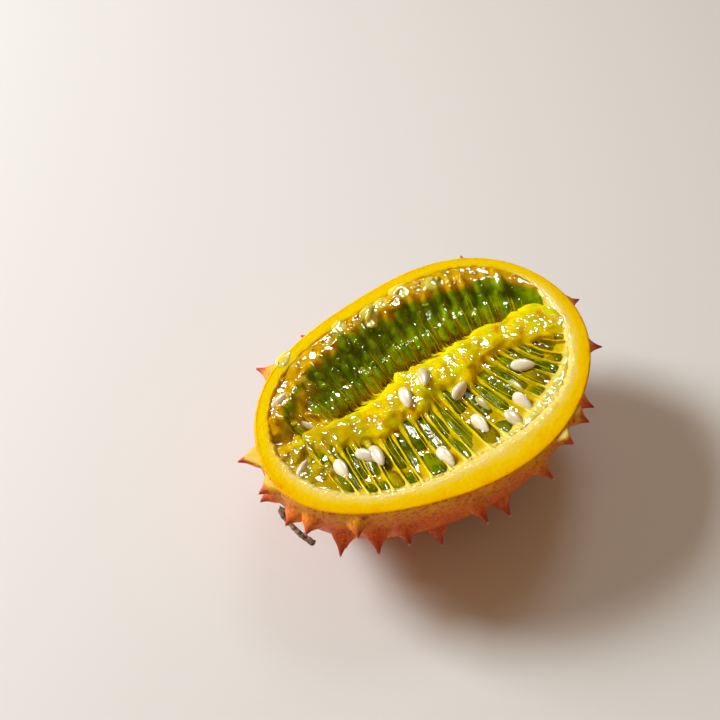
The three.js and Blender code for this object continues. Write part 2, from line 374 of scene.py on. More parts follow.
def makeSkinMaterial():
    material, tree, surface = startMaterial(
        "hornedSkin", roughness=0.55, specularIorLevel=0.25, coatWeight=0.08, coatRoughness=0.25,
        subsurfaceWeight=0.15, subsurfaceScale=0.003, subsurfaceRadius=(1.0, 0.4, 0.1))
    height = objectHeight(tree)
    # Darker towards the bottom: partly the skin's own red, partly painted shade of the underside
    middle = mixColour(tree, scaled(tree, height, 0.014, 0.034), skinLook["low"], skinLook["middle"])
    body = mixColour(tree, scaled(tree, height, 0.031, 0.041), middle, skinLook["top"])
    patchy = addMottle(tree, body, skinLook["patches"], 170, 0.5, 0.64)
    speckled = addMottle(tree, patchy.outputs["Colour"], skinLook["specks"], 850, 0.47, 0.66)
    dotted = addMottle(tree, speckled.outputs["Colour"], skinLook["dots"], 1500, 0.56, 0.7)
    level = readAttribute(tree, "level")
    horned = mixColour(tree, scaled(tree, level, 0.2, 0.8), dotted.outputs["Colour"], skinLook["horn"])
    tipped = mixColour(tree, scaled(tree, level, 0.9, 0.97), horned, skinLook["hornTip"])
    sliced = mixColour(tree, readAttribute(tree, "sliced"), tipped, skinLook["slice"])
    tree.links.new(sliced, surface.inputs["Base Color"])
    addGrain(tree, surface, 1600, 0.3, 0.0003)
    return material


fleshLook = {  # share of the wall from the skin inwards, and the colour there
    "near": [(0.0, (0.9, 0.38, 0.0002)), (0.14, (0.95, 0.52, 0.0002)), (0.42, (0.97, 0.63, 0.0005)),
             (0.6, (0.97, 0.68, 0.05)), (0.84, (0.97, 0.73, 0.2)), (1.0, (0.96, 0.7, 0.08))],
    "far": [(0.0, (0.9, 0.4, 0.0002)), (0.14, (0.97, 0.6, 0.0002)), (0.5, (0.97, 0.68, 0.0005)),
            (0.8, (0.96, 0.6, 0.004)), (1.0, (0.8, 0.36, 0.0005))],
    # Pale cream flecks for the near inner flesh: partly its own grains, partly painted highlights
    "spots": (0.97, 0.87, 0.6, 1)}


def makeFleshMaterial():
    material, tree, surface = startMaterial(
        "cutFlesh", roughness=0.6, specularIorLevel=0.0, coatRoughness=0.05, subsurfaceWeight=0.3,
        subsurfaceScale=0.004, subsurfaceRadius=(1.0, 0.6, 0.1))
    depth = readAttribute(tree, "inward")
    drift = addNode(tree, "ShaderNodeTexNoise", {"Vector": objectPlace(tree), "Scale": 200.0, "Detail": 3.0})
    uneven = addNode(tree, "ShaderNodeMath", {0: drift.outputs["Fac"], 1: 0.5, 2: -0.25},
                     operation="MULTIPLY_ADD").outputs[0]
    moved = addNode(tree, "ShaderNodeMath", {0: depth, 1: uneven}, operation="ADD").outputs[0]
    near = readAttribute(tree, "near")
    colour = mixColour(tree, near, ramp(tree, moved, fleshLook["far"]), ramp(tree, moved, fleshLook["near"]))
    # Pale flecks on the near inner half: partly the flesh's own grains, partly painted highlights
    glintFlecked = addMottle(tree, colour, fleshLook["spots"], 900, 0.54, 0.7)
    share = addNode(tree, "ShaderNodeMath", {0: scaled(tree, depth, 0.45, 0.9, 0.0, 0.8), 1: near},
                    operation="MULTIPLY").outputs[0]
    pale = mixColour(tree, share, colour, glintFlecked.outputs["Colour"])
    tree.links.new(pale, surface.inputs["Base Color"])
    tree.links.new(readAttribute(tree, "wet"), surface.inputs["Coat Weight"])
    addGrain(tree, surface, 900, 0.4, 0.0005)
    return material


# The ridge's "low" colour is painted shade for its flanks that sink into the hollows
ridgeLook = {
    "yellow": (0.99, 0.7, 0.001, 1), "green": (0.76, 0.7, 0.001, 1), "orange": (0.86, 0.42, 0.001, 1),
    "leftEnd": (0.6, 0.42, 0.001, 1), "low": (0.55, 0.33, 0.001, 1)}


def makeRidgeMaterial():
    material, tree, surface = startMaterial(
        "wetRidge", coatRoughness=0.03, subsurfaceScale=0.004, subsurfaceRadius=(0.9, 0.7, 0.02), **moist)
    base = addMottle(tree, ridgeLook["yellow"], ridgeLook["green"], 120, 0.42, 0.6)
    patch = addMottle(tree, base.outputs["Colour"], ridgeLook["orange"], 170, 0.52, 0.66)
    faded = mixColour(tree, readAttribute(tree, "fade"), patch.outputs["Colour"], ridgeLook["leftEnd"])
    # Painted shade: the ridge darkens where it sinks below the pulp's top
    low = mixColour(tree, readAttribute(tree, "low"), faded, ridgeLook["low"])
    tree.links.new(low, surface.inputs["Base Color"])
    addWetPatches(tree, surface, 280, 0.47, 0.54, 0.04)
    addGrain(tree, surface, 500, 0.3, 0.0008, 2.0)
    addGrain(tree, surface, 400, 1.0, 0.0009, 1.0, "Coat Normal")
    return material


# The webs' darkest colour, for their lower parts, is painted shade
webLook = {
    "bright": (0.9, 0.66, 0.001, 1), "brown": (0.66, 0.47, 0.001, 1), "atWall": (0.95, 0.78, 0.16, 1),
    "deep": (0.66, 0.44, 0.0005, 1)}


def makeWebMaterial():
    material, tree, surface = startMaterial(
        "webFibre", coatRoughness=0.04, subsurfaceScale=0.002, subsurfaceRadius=(0.9, 0.7, 0.02), **moist)
    base = addMottle(tree, webLook["bright"], webLook["brown"], 300, 0.42, 0.64)
    outer = scaled(tree, readAttribute(tree, "outer"), 0.75, 1.0)
    pale = mixColour(tree, outer, base.outputs["Colour"], webLook["atWall"])
    # Painted shade: the webs darken lower down, where they hang into the hollows
    deep = mixColour(tree, scaled(tree, objectHeight(tree), 0.0345, 0.039), webLook["deep"], pale)
    tree.links.new(deep, surface.inputs["Base Color"])
    addWetPatches(tree, surface, 420, 0.54, 0.62, 0.02, 0.7)
    addGrain(tree, surface, 1200, 0.4, 0.0004, 1.0)
    return material


# Each look's "pit" colour is painted shade for the hollows
juice = {  # darker and paler tint of each colour
    "green": ((0.09, 0.13, 0.0002), (0.26, 0.29, 0.0004)),
    "olive": ((0.22, 0.16, 0.0002), (0.46, 0.34, 0.0004)),
    "amber": ((0.6, 0.33, 0.0003), (0.84, 0.52, 0.0005)),
    "pit": (0.05, 0.028, 0.001, 1), "wetFrom": 0.54, "wetTo": 0.6, "glint": 0.0006}
pulp = {
    "green": ((0.12, 0.2, 0.0002), (0.27, 0.38, 0.0004)),
    "olive": ((0.26, 0.23, 0.0002), (0.52, 0.44, 0.0004)),
    "amber": ((0.62, 0.32, 0.0003), (0.84, 0.46, 0.0005)),
    "pit": (0.26, 0.14, 0.0006, 1), "wetFrom": 0.43, "wetTo": 0.5, "glint": 0.0009}
sacTint = {"edge": (0.34, 0.3, 0.002, 1), "vein": (0.72, 0.49, 0.001, 1), "root": (0.95, 0.74, 0.12, 1)}


def makeSacMaterial(name, look):
    material, tree, surface = startMaterial(
        name, coatRoughness=0.02, subsurfaceScale=0.003, subsurfaceRadius=(0.8, 0.9, 0.02), **moist)
    green, olive, amber = [
        addMottle(tree, (*look[tint][0], 1), (*look[tint][1], 1), scale, 0.4, 0.62).outputs["Colour"]
        for tint, scale in (("green", 230), ("olive", 240), ("amber", 200))]
    mixed = mixColour(tree, scaled(tree, readAttribute(tree, "tone"), 0.35, 0.9), green, olive)
    edge = scaled(tree, readAttribute(tree, "edge"), 0.55, 1.0, 0.0, 0.6)
    edged = mixColour(tree, edge, mixed, sacTint["edge"])
    ripe = mixColour(tree, readAttribute(tree, "amber"), edged, amber)
    # Painted shade: the pit colour darkens the gel by its depth in the hollow; the near lenses take a random
    # share of it
    deep = mixColour(tree, readAttribute(tree, "pit"), ripe, look["pit"])
    vein = scaled(tree, readAttribute(tree, "vein"), 0.3, 1.0, 0.0, 0.75)
    veined = mixColour(tree, vein, deep, sacTint["vein"])
    rooted = mixColour(tree, readAttribute(tree, "pale"), veined, sacTint["root"])
    tree.links.new(rooted, surface.inputs["Base Color"])
    addWetPatches(tree, surface, 330, look["wetFrom"], look["wetTo"], 0.03)
    addGrain(tree, surface, 600, 0.3, 0.0006, 1.0)
    addGrain(tree, surface, 330, 1.0, look["glint"], 1.0, "Coat Normal")
    return material


seedLook = {"pale": (0.97, 0.85, 0.62, 1), "shade": (0.88, 0.7, 0.44, 1), "edge": (0.8, 0.58, 0.28, 1),
            "green": (0.5, 0.46, 0.02, 1)}


def makeSeedMaterial():
    material, tree, surface = startMaterial(
        "seedCoat", roughness=0.35, coatWeight=0.6, coatRoughness=0.12, subsurfaceWeight=0.25,
        subsurfaceScale=0.002, subsurfaceRadius=(1.0, 0.7, 0.4))
    base = addMottle(tree, seedLook["pale"], seedLook["shade"], 420, 0.45, 0.65)
    edge = scaled(tree, readAttribute(tree, "edge"), 0.6, 1.0, 0.0, 0.5)
    edged = mixColour(tree, edge, base.outputs["Colour"], seedLook["edge"])
    green = mixColour(tree, readAttribute(tree, "green"), edged, seedLook["green"])
    tree.links.new(green, surface.inputs["Base Color"])
    addGrain(tree, surface, 1800, 0.25, 0.0002)
    return material


stalkLook = {"brown": (0.36, 0.26, 0.16, 1), "dark": (0.14, 0.085, 0.045, 1), "pale": (0.6, 0.5, 0.36, 1)}


def makeStalkMaterial():
    material, tree, surface = startMaterial("dryStalk", roughness=0.85)
    base = addMottle(tree, stalkLook["brown"], stalkLook["dark"], 500, 0.42, 0.62)
    pale = addMottle(tree, base.outputs["Colour"], stalkLook["pale"], 1400, 0.56, 0.68)
    tree.links.new(pale.outputs["Colour"], surface.inputs["Base Color"])
    addGrain(tree, surface, 1800, 0.8, 0.0008)
    return material


skinMaterial = makeSkinMaterial()
fleshMaterial = makeFleshMaterial()
ridgeMaterial = makeRidgeMaterial()
webMaterial = makeWebMaterial()
sacMaterial = makeSacMaterial("juiceSac", juice)
pulpMaterial = makeSacMaterial("wetPulp", pulp)
seedMaterial = makeSeedMaterial()
stalkMaterial = makeStalkMaterial()
print("materials made")


# Geometry Nodes trees

def addWobble(tree, geometry, amount, scale, start=0.0):
    # Moves every point by a soft cloud of noise
    place = addNode(tree, "GeometryNodeInputPosition").outputs[0]
    cloud = addNode(tree, "ShaderNodeTexNoise", {"Vector": place, "Scale": scale, "Detail": 2.0, "W": start},
                    noise_dimensions="4D")
    centred = addNode(tree, "ShaderNodeVectorMath", {0: cloud.outputs["Color"], 1: (-0.5, -0.5, -0.5)},
                      operation="ADD").outputs[0]
    push = addNode(tree, "ShaderNodeVectorMath", {0: centred, "Scale": amount}, operation="SCALE").outputs[0]
    return addNode(tree, "GeometryNodeSetPosition", {"Geometry": geometry, "Offset": push}).outputs[0]


def finishTree(tree, made, geometry, material):
    real = addNode(tree, "GeometryNodeRealizeInstances", {0: geometry}).outputs[0]
    smooth = addNode(tree, "GeometryNodeSetShadeSmooth", {"Geometry": real}).outputs[0]
    last = addNode(tree, "GeometryNodeSetMaterial", {"Geometry": smooth, "Material": material}).outputs[0]
    tree.links.new(last, made.inputs["Geometry"])


def namedValue(tree, name, kind="FLOAT"):
    return addNode(tree, "GeometryNodeInputNamedAttribute", {"Name": name}, data_type=kind).outputs[0]


def namedVector(tree, name):
    return namedValue(tree, name, "FLOAT_VECTOR")


def addCopies(tree, given, points, rotation, size):
    # Puts a copy of the given shape on each point
    shape = addNode(tree, "GeometryNodeObjectInfo", {"Object": given.outputs["Shape"]})
    return addNode(tree, "GeometryNodeInstanceOnPoints", {
        "Points": points, "Instance": shape.outputs["Geometry"], "Rotation": rotation,
        "Scale": size}).outputs[0]


def addGivenWobble(tree, given, geometry, start=0.0):
    return addWobble(tree, geometry, given.outputs["Wobble"], given.outputs["Wobble Scale"], start)


def makeSetOut():
    # Sets a shape out on points, each with its own aim, up and size
    tree, given, made = newTree("setOut", "GeometryNodeTree", [
        ("Geometry", "NodeSocketGeometry", None), ("Shape", "NodeSocketObject", None),
        ("Wobble", "NodeSocketFloat", 0.0), ("Wobble Scale", "NodeSocketFloat", 300.0),
        ("Seed", "NodeSocketFloat", 1.0), ("Material", "NodeSocketMaterial", None)],
        [("Geometry", "NodeSocketGeometry")])
    aim = namedVector(tree, "aim")
    along = addNode(tree, "FunctionNodeAlignRotationToVector", {"Vector": aim}, axis="X")
    turned = addNode(tree, "FunctionNodeAlignRotationToVector", {
        "Rotation": along.outputs[0], "Vector": namedVector(tree, "up")}, axis="Z", pivot_axis="X")
    copies = addCopies(tree, given, given.outputs["Geometry"], turned.outputs[0], namedVector(tree, "size"))
    real = addNode(tree, "GeometryNodeRealizeInstances", {0: copies}).outputs[0]
    moved = addGivenWobble(tree, given, real, given.outputs["Seed"])
    finishTree(tree, made, moved, given.outputs["Material"])
    return tree


def makeGrowHorns():
    # Horns stand on the skin; their broad roots are drawn on to it, and the cut and the table flatten them
    tree, given, made = newTree("growHorns", "GeometryNodeTree", [
        ("Geometry", "NodeSocketGeometry", None), ("Shape", "NodeSocketObject", None),
        ("Skin", "NodeSocketObject", None), ("Cut", "NodeSocketFloat", 1.0),
        ("Table", "NodeSocketFloat", 0.0), ("Material", "NodeSocketMaterial", None)],
        [("Geometry", "NodeSocketGeometry")])
    aim = namedVector(tree, "aim")
    turned = addNode(tree, "FunctionNodeAlignRotationToVector", {"Vector": aim}, axis="Z")
    copies = addCopies(tree, given, given.outputs["Geometry"], turned.outputs[0], namedVector(tree, "size"))
    real = addNode(tree, "GeometryNodeRealizeInstances", {0: copies}).outputs[0]
    skin = addNode(tree, "GeometryNodeObjectInfo", {"Object": given.outputs["Skin"]})
    nearest = addNode(tree, "GeometryNodeProximity", {"Geometry": skin.outputs["Geometry"]},
                      target_element="FACES")
    drawn = scaled(tree, namedValue(tree, "level"), 0.02, 0.3, 1.0, 0.0)
    place = addNode(tree, "GeometryNodeInputPosition").outputs[0]
    mixed = addNode(tree, "ShaderNodeMix", {0: drawn, 4: place, 5: nearest.outputs["Position"]},
                    data_type="VECTOR").outputs[1]
    parts = addNode(tree, "ShaderNodeSeparateXYZ", {0: mixed})
    above = addNode(tree, "FunctionNodeCompare", {0: parts.outputs["Z"], 1: given.outputs["Cut"]},
                    data_type="FLOAT", operation="GREATER_THAN").outputs[0]
    marked = addNode(tree, "GeometryNodeStoreNamedAttribute", {
        "Geometry": real, "Name": "sliced", "Value": above}, data_type="FLOAT", domain="POINT").outputs[0]
    lower = addNode(tree, "ShaderNodeMath", {0: parts.outputs["Z"], 1: given.outputs["Cut"]},
                    operation="MINIMUM").outputs[0]
    higher = addNode(tree, "ShaderNodeMath", {0: lower, 1: given.outputs["Table"]},
                     operation="MAXIMUM").outputs[0]
    target = addNode(tree, "ShaderNodeCombineXYZ", {
        "X": parts.outputs["X"], "Y": parts.outputs["Y"], "Z": higher}).outputs[0]
    moved = addNode(tree, "GeometryNodeSetPosition", {"Geometry": marked, "Position": target}).outputs[0]
    finishTree(tree, made, moved, given.outputs["Material"])
    return tree


sheetRows = 4


def makeHangSheets():
    # Lets a thin sheet hang from each line, as deep as the line's own depth says
    tree, given, made = newTree("hangSheets", "GeometryNodeTree", [
        ("Geometry", "NodeSocketGeometry", None), ("Wobble", "NodeSocketFloat", 0.0006),
        ("Wobble Scale", "NodeSocketFloat", 260.0), ("Material", "NodeSocketMaterial", None)],
        [("Geometry", "NodeSocketGeometry")])
    step = addNode(tree, "ShaderNodeMath", {0: namedValue(tree, "depth"), 1: -1 / sheetRows},
                   operation="MULTIPLY").outputs[0]
    offset = addNode(tree, "ShaderNodeCombineXYZ", {"Z": step}).outputs[0]
    sheet = given.outputs["Geometry"]
    lowest = True
    for row in range(sheetRows):
        extruded = addNode(tree, "GeometryNodeExtrudeMesh", {
            "Mesh": sheet, "Selection": lowest, "Offset": offset}, mode="EDGES")
        sheet = extruded.outputs["Mesh"]
        lowest = extruded.outputs["Top"]
    finishTree(tree, made, addGivenWobble(tree, given, sheet), given.outputs["Material"])
    return tree


def makeDrawFibres():
    # Makes each line a round fibre of its own thickness
    tree, given, made = newTree("drawFibres", "GeometryNodeTree", [
        ("Geometry", "NodeSocketGeometry", None), ("Sides", "NodeSocketInt", 6),
        ("Wobble", "NodeSocketFloat", 0.0006), ("Wobble Scale", "NodeSocketFloat", 260.0),
        ("Material", "NodeSocketMaterial", None)], [("Geometry", "NodeSocketGeometry")])
    lines = addNode(tree, "GeometryNodeMeshToCurve", {"Mesh": given.outputs["Geometry"]}).outputs[0]
    thick = namedValue(tree, "thick")
    sized = addNode(tree, "GeometryNodeSetCurveRadius", {"Curve": lines, "Radius": thick}).outputs[0]
    ring = addNode(tree, "GeometryNodeCurvePrimitiveCircle", {
        "Resolution": given.outputs["Sides"], "Radius": 1.0}).outputs[0]
    tube = addNode(tree, "GeometryNodeCurveToMesh", {
        "Curve": addGivenWobble(tree, given, sized), "Profile Curve": ring, "Fill Caps": True})
    if "Scale" in tube.inputs:
        tree.links.new(thick, tube.inputs["Scale"])
    finishTree(tree, made, tube.outputs[0], given.outputs["Material"])
    return tree


# Beads per square metre, radii in metres, shares of the radius, full turn and least upward lean
bead = {"density": 50000.0, "smallest": 0.0003, "largest": 0.0009, "leastShares": (1.0, 0.7, 0.4),
        "mostShares": (1.9, 1.2, 0.7), "turn": 6.28, "upward": 0.3}


def makeScatterBeads():
    # Scatters beads over a surface, thickest where its "wet" attribute is high
    tree, given, made = newTree("scatterBeads", "GeometryNodeTree", [
        ("Geometry", "NodeSocketGeometry", None), ("Shape", "NodeSocketObject", None),
        ("Density", "NodeSocketFloat", 100000.0), ("Smallest", "NodeSocketFloat", 0.0003),
        ("Largest", "NodeSocketFloat", 0.0008), ("Seed", "NodeSocketInt", 4),
        ("Material", "NodeSocketMaterial", None)], [("Geometry", "NodeSocketGeometry")])
    density = addNode(tree, "ShaderNodeMath", {0: namedValue(tree, "wet"), 1: given.outputs["Density"]},
                      operation="MULTIPLY").outputs[0]
    normal = addNode(tree, "GeometryNodeInputNormal").outputs[0]
    upward = addNode(tree, "ShaderNodeSeparateXYZ", {0: normal}).outputs["Z"]
    facing = addNode(tree, "FunctionNodeCompare", {0: upward, 1: bead["upward"]},
                     data_type="FLOAT", operation="GREATER_THAN").outputs[0]
    spread = addNode(tree, "GeometryNodeDistributePointsOnFaces", {
        "Mesh": given.outputs["Geometry"], "Selection": facing, "Density": density,
        "Seed": given.outputs["Seed"]})
    size = addNode(tree, "FunctionNodeRandomValue", {
        2: given.outputs["Smallest"], 3: given.outputs["Largest"], "Seed": 8}, data_type="FLOAT").outputs[1]
    stretch = addNode(tree, "FunctionNodeRandomValue", {
        0: bead["leastShares"], 1: bead["mostShares"], "Seed": 9}, data_type="FLOAT_VECTOR").outputs[0]
    scale = addNode(tree, "ShaderNodeVectorMath", {0: stretch, "Scale": size}, operation="SCALE").outputs[0]
    spin = addNode(tree, "FunctionNodeRandomValue", {
        0: (0.0, 0.0, 0.0), 1: (0.0, 0.0, bead["turn"]), "Seed": 10}, data_type="FLOAT_VECTOR").outputs[0]
    turned = addNode(tree, "FunctionNodeRotateRotation", {
        "Rotation": spread.outputs["Rotation"], "Rotate By": spin}, rotation_space="LOCAL").outputs[0]
    copies = addCopies(tree, given, spread.outputs["Points"], turned, scale)
    finishTree(tree, made, copies, given.outputs["Material"])
    return tree


setOut = makeSetOut()
scatterBeads = makeScatterBeads()
growHorns = makeGrowHorns()
hangSheets = makeHangSheets()
drawFibres = makeDrawFibres()
print("trees made")


# Base shapes that the trees set out

def makeBall(name, columns, rows, place):
    # A closed ball of unit size along X, its points put where place() says
    points = [place(-1.0, 0.0, 0.0)]
    for r in range(1, rows):
        a = math.pi * r / rows
        for c in range(columns):
            b = 2 * math.pi * c / columns
            points.append(place(-math.cos(a), math.sin(a) * math.cos(b), math.sin(a) * math.sin(b)))
    points.append(place(1.0, 0.0, 0.0))
    faces = fanFaces(1, columns, 0, True) + gridFaces(rows - 1, columns, 1)
    faces += fanFaces(1 + (rows - 2) * columns, columns, len(points) - 1)
    edge = [abs(p[1]) for p in points]
    return bpy.data.objects.new(name, makeMesh(name, points, faces, attributes={"edge": edge}))


def boxy(x, y, z):
    # Squares off a ball's cross-section, for a sac that fills its slot
    reach = math.hypot(y, z)
    if reach < 1e-6:
        return x, y, z
    c, s = y / reach, z / reach
    grown = reach ** 0.8 / (abs(c) ** 5 + abs(s) ** 5) ** 0.2
    return x, c * grown, s * grown


hornOutline = [  # height up the horn and radius there, in shares of the horn's own
    (-0.3, 1.5), (-0.06, 1.12), (0.14, 0.78), (0.27, 0.58), (0.4, 0.42), (0.55, 0.28), (0.7, 0.18),
    (0.84, 0.11), (0.93, 0.075), (0.985, 0.045)]


def makeHornShape(sides=14):
    points, level = [], []
    for height, radius in hornOutline:
        for c in range(sides):
            a = 2 * math.pi * c / sides
            points.append((radius * math.cos(a), radius * math.sin(a), height))
            level.append(height)
    top = len(points)
    points += [(0, 0, 1.0), (0, 0, hornOutline[0][0])]
    level += [1.0, hornOutline[0][0]]
    faces = gridFaces(len(hornOutline), sides) + fanFaces(top - sides, sides, top)
    faces += fanFaces(0, sides, top + 1, True)
    mesh = makeMesh("hornShape", points, faces, attributes={"level": level})
    return bpy.data.objects.new("hornShape", mesh)


hornShape = makeHornShape()
sacShape = makeBall("sacShape", 12, 9, lambda x, y, z: (x, y * (1 - 0.2 * x), z))
beadShape = makeBall("beadShape", 8, 6, lambda x, y, z: (x, y, z))
panelShape = makeBall("panelShape", 20, 18, boxy)
seedShape = makeBall("seedShape", 20, 14, lambda x, y, z: (
    x, y * (1 - 0.25 * x) * (1 - 0.12 * max(x, 0) ** 2), z * (1 - 0.2 * x)))


waver = {  # how far in metres, at what scale and from what seed each piece's copies are bent
    "farSacs": (0.0010, 380.0, 5.0), "lumps": (0.0008, 260.0, 13.0), "sacsNear": (0.0008, 240.0, 3.0),
    "seeds": (0.0002, 300.0, 9.0), "crumbs": (0.0006, 1100.0, 11.0)}


def setOutPiece(name, places, shape, material):
    # places holds a dictionary for each copy: at, aim, up, size and any further attributes
    amount, scale, seed = waver[name]
    piece = pointMesh(name, [{"up": (0, 0, 1), **p} for p in places])
    return grow(piece, setOut, shape=shape, wobble=amount, wobbleScale=scale, seed=seed, material=material)


def finishPiece(piece, slot, *nodes):
    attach(piece, "root")
    if nodes:
        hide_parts(*nodes)
    return piece


def smooth(value):
    value = np.clip(value, 0, 1)
    return value * value * (3 - 2 * value)


# The rind: skin, cut face and inner wall in one closed mesh

rind = {"columns": 520, "skinRows": 46, "edge": 0.6, "unevenSkin": 0.22, "crumble": 0.7, "leftLip": 0.9,
        "edgeTurns": (25, 50, 75, 90), "wallDrops": (3, 6, 10, 16, 30, 50, 72),
        "faceShares": (0.15, 0.24, 0.34, 0.45, 0.56, 0.66, 0.75, 0.83, 0.9, 0.96, 1.0)}
wholeSkin = {"columns": 180, "lowest": 88, "highest": -25, "step": -2.0}


def softNoise(x, y, z, scale):
    return noise.noise(Vector((x / scale, y / scale, z / scale)))


def skinRow(turn, drop, fade, inset=0.0):
    base = skinPoint(turn, drop)
    lump = np.array([softNoise(*p, 9.0) + 0.4 * softNoise(*p, 3.0) for p in base])
    return base + skinNormal(turn, drop) * (rind["unevenSkin"] * fade * lump - inset)[:, None]


def makeWholeSkin():
    # The skin as if the fruit had not been cut, for the horns' roots to lie on
    columns = wholeSkin["columns"]
    turn = np.linspace(0, 2 * np.pi, columns, endpoint=False)
    drops = np.radians(np.arange(wholeSkin["lowest"], wholeSkin["highest"], wholeSkin["step"]))
    rows = [skinRow(turn, drop, 1.0, horn["rootInset"]) for drop in drops]
    mesh = makeMesh("wholeSkin", placed(np.concatenate(rows)), gridFaces(len(rows), columns))
    return bpy.data.objects.new("wholeSkin", mesh)


def nearShare(points):
    # 0 along the far side of the fruit, 1 along the near side and both ends
    return smooth((18.0 - np.array([p[1] for p in points])) / 22.0)


def makeRindMesh():
    columns = rind["columns"]
    turn = np.linspace(0, 2 * np.pi, columns, endpoint=False)
    rows, inward = [], []

    def addRow(points, depth):
        rows.append(points)
        inward.append(np.full(columns, depth) if np.isscalar(depth) else depth)

    edgeDrop = math.asin(rind["edge"] / fruit["depth"])
    for drop in np.linspace(math.radians(88), edgeDrop, rind["skinRows"]):
        addRow(skinRow(turn, drop, min(1, (drop - edgeDrop) / 0.12)), 0.0)
    outer = skinPoint(turn, 0.0)
    inner = cavityPoint(turn, 0.0, 0.0)
    width = np.linalg.norm(outer - inner, axis=-1)
    unit = (inner - outer) / width[:, None]
    # The flesh is broadest at the stalk end
    width = width + rind["leftLip"] * np.maximum(0, -np.cos(turn)) ** 4
    for a in rind["edgeTurns"]:
        a = math.radians(a)
        inset = rind["edge"] * (1 - math.cos(a))
        ring = outer + unit * inset
        ring[:, 2] = -rind["edge"] * (1 - math.sin(a))
        addRow(ring, inset / width)
    crumb = np.array([softNoise(x, y, 3.0, 2.2) + 0.6 * softNoise(x, y, 9.0, 0.9) for x, y in inner[:, :2]])
    for share in rind["faceShares"]:
        loose = max(0, (share - 0.6) / 0.4)
        ring = outer + unit * (width * share + rind["crumble"] * loose * crumb)[:, None]
        dip = np.array([softNoise(p[0], p[1], 20.0, 1.5) for p in ring])
        ring[:, 2] = -0.05 - 0.9 * max(0, (share - 0.8) / 0.2) ** 2 + 0.35 * loose * dip
        addRow(ring, share)
    for drop in rind["wallDrops"]:
        addRow(cavityPoint(turn, math.radians(drop), 0.0), 1.0)
    points = list(np.concatenate(rows))
    depth = list(np.concatenate(inward))
    points += [(0, 0, -fruit["depth"]), (0, 0, -(fruit["depth"] - wall["bottom"]))]
    depth += [0.0, 1.0]
    outerPole = len(points) - 2
    faces = gridFaces(len(rows), columns) + fanFaces(0, columns, outerPole, True)
    faces += fanFaces(outerPole - columns, columns, outerPole + 1)
    near = nearShare(points)
    wet = smooth((np.array(depth) - 0.72) / 0.25) * (0.15 + 0.85 * near)
    attributes = {"inward": depth, "wet": wet, "near": near}
    mesh = makeMesh("rindShell", placed(points), faces, attributes=attributes)
    mesh.materials.append(skinMaterial)
    mesh.materials.append(fleshMaterial)
    # The skin's own faces, half of the rounded edge's and the fan under it carry the first material
    index = np.ones(len(faces), int)
    index[:(rind["skinRows"] + 1) * columns] = 0
    index[outerPole - columns:outerPole] = 0
    mesh.polygons.foreach_set("material_index", index)
    return mesh


# Horns

seenHorns = [  # degrees round from +X, degrees below the cut, height
    (162, 2, 6), (176, 4, 4.5), (174, 13, 4.5), (-172, 12, 4.5), (-164, 11, 4.5), (-153, 19, 6.5),
    (-147, 6, 5), (-141, 17, 6.5), (-131, 17, 5), (-107, 13, 6.5), (-86, 8, 6.5), (-76, 3, 4.5),
    (-66, 5, 4.5), (-30, 10, 6), (-8, 6, 5.5), (43, 6, 5.5), (123, 5, 6.5)]
horn = {"rootRadius": 4.4, "spacing": 16, "trials": 70, "turnStep": 137.5, "turnShift": 12, "highest": 0.1,
        "reach": 0.88, "height": 6, "spread": 1.2, "belowCut": 0.6, "rootInset": 0.12}
feet = {"places": [(-150, 66), (-30, 66), (90, 68)], "height": 10}


def hornPlaces():
    draw = makeDraw(11)
    places = []

    def add(turn, drop, height, isFoot):
        turn, drop = math.radians(turn), math.radians(drop)
        aim = skinNormal(turn, drop)
        if isFoot:
            aim = aim - np.array([0, 0, 1])
            aim = aim / np.linalg.norm(aim)
        size = (horn["rootRadius"], horn["rootRadius"], height)
        places.append({"at": skinPoint(turn, drop), "aim": aim, "size": size})

    for turn, drop, height in seenHorns:
        add(turn, drop, height, False)
    for turn, drop in feet["places"]:
        add(turn, drop, feet["height"], True)
    for i in range(horn["trials"]):
        turn = i * horn["turnStep"] + horn["turnShift"] * (draw() - 0.5)
        drop = math.degrees(math.asin(horn["highest"] + horn["reach"] * i / horn["trials"]))
        height = horn["height"] + horn["spread"] * (draw() - 0.5)
        root = skinPoint(math.radians(turn), math.radians(drop))
        isFree = all(np.linalg.norm(p["at"] - root) > horn["spacing"] for p in places)
        if isFree and root[2] - height > table + 1:
            add(turn, drop, height, False)
    return places


def makeRind():
    shell = makeObject("rindShell", makeRindMesh())
    spikes = pointMesh("horns", hornPlaces())
    grow(spikes, growHorns, shape=hornShape, skin=makeWholeSkin(), material=skinMaterial,
         cut=float(rimCentre[2]) - horn["belowCut"] * mm, table=float(rimCentre[2] + table * mm))
    for piece in (shell, spikes):
        finishPiece(piece, "rind", "rind")


makeRind()
print("rind made")


# The pulp: gel, ridge, webs, sacs and seeds

gelMass = {"rows": 40, "columns": 220, "inset": -0.5, "slab": 3.0, "lump": 0.45, "voxel": 0.44,
           "smoothing": 3, "leftEnd": -22, "nearLeftEnd": -38, "leftFade": 9, "pit": 4.6, "nearSink": 1.25}


def leftShare(x, away=0.0):
    # Rises to 1 at the stalk end, where the gel covers core and webs alike
    side = smooth((3.0 - away) / 6.0)
    end = gelMass["leftEnd"] * (1 - side) + gelMass["nearLeftEnd"] * side
    return smooth((end - x) / gelMass["leftFade"])


def chamberShare(x, y):
    away = y - coreLine(x)
    return np.clip(np.abs(away) / chamberReach(x, np.sign(away)), 0, 1), away


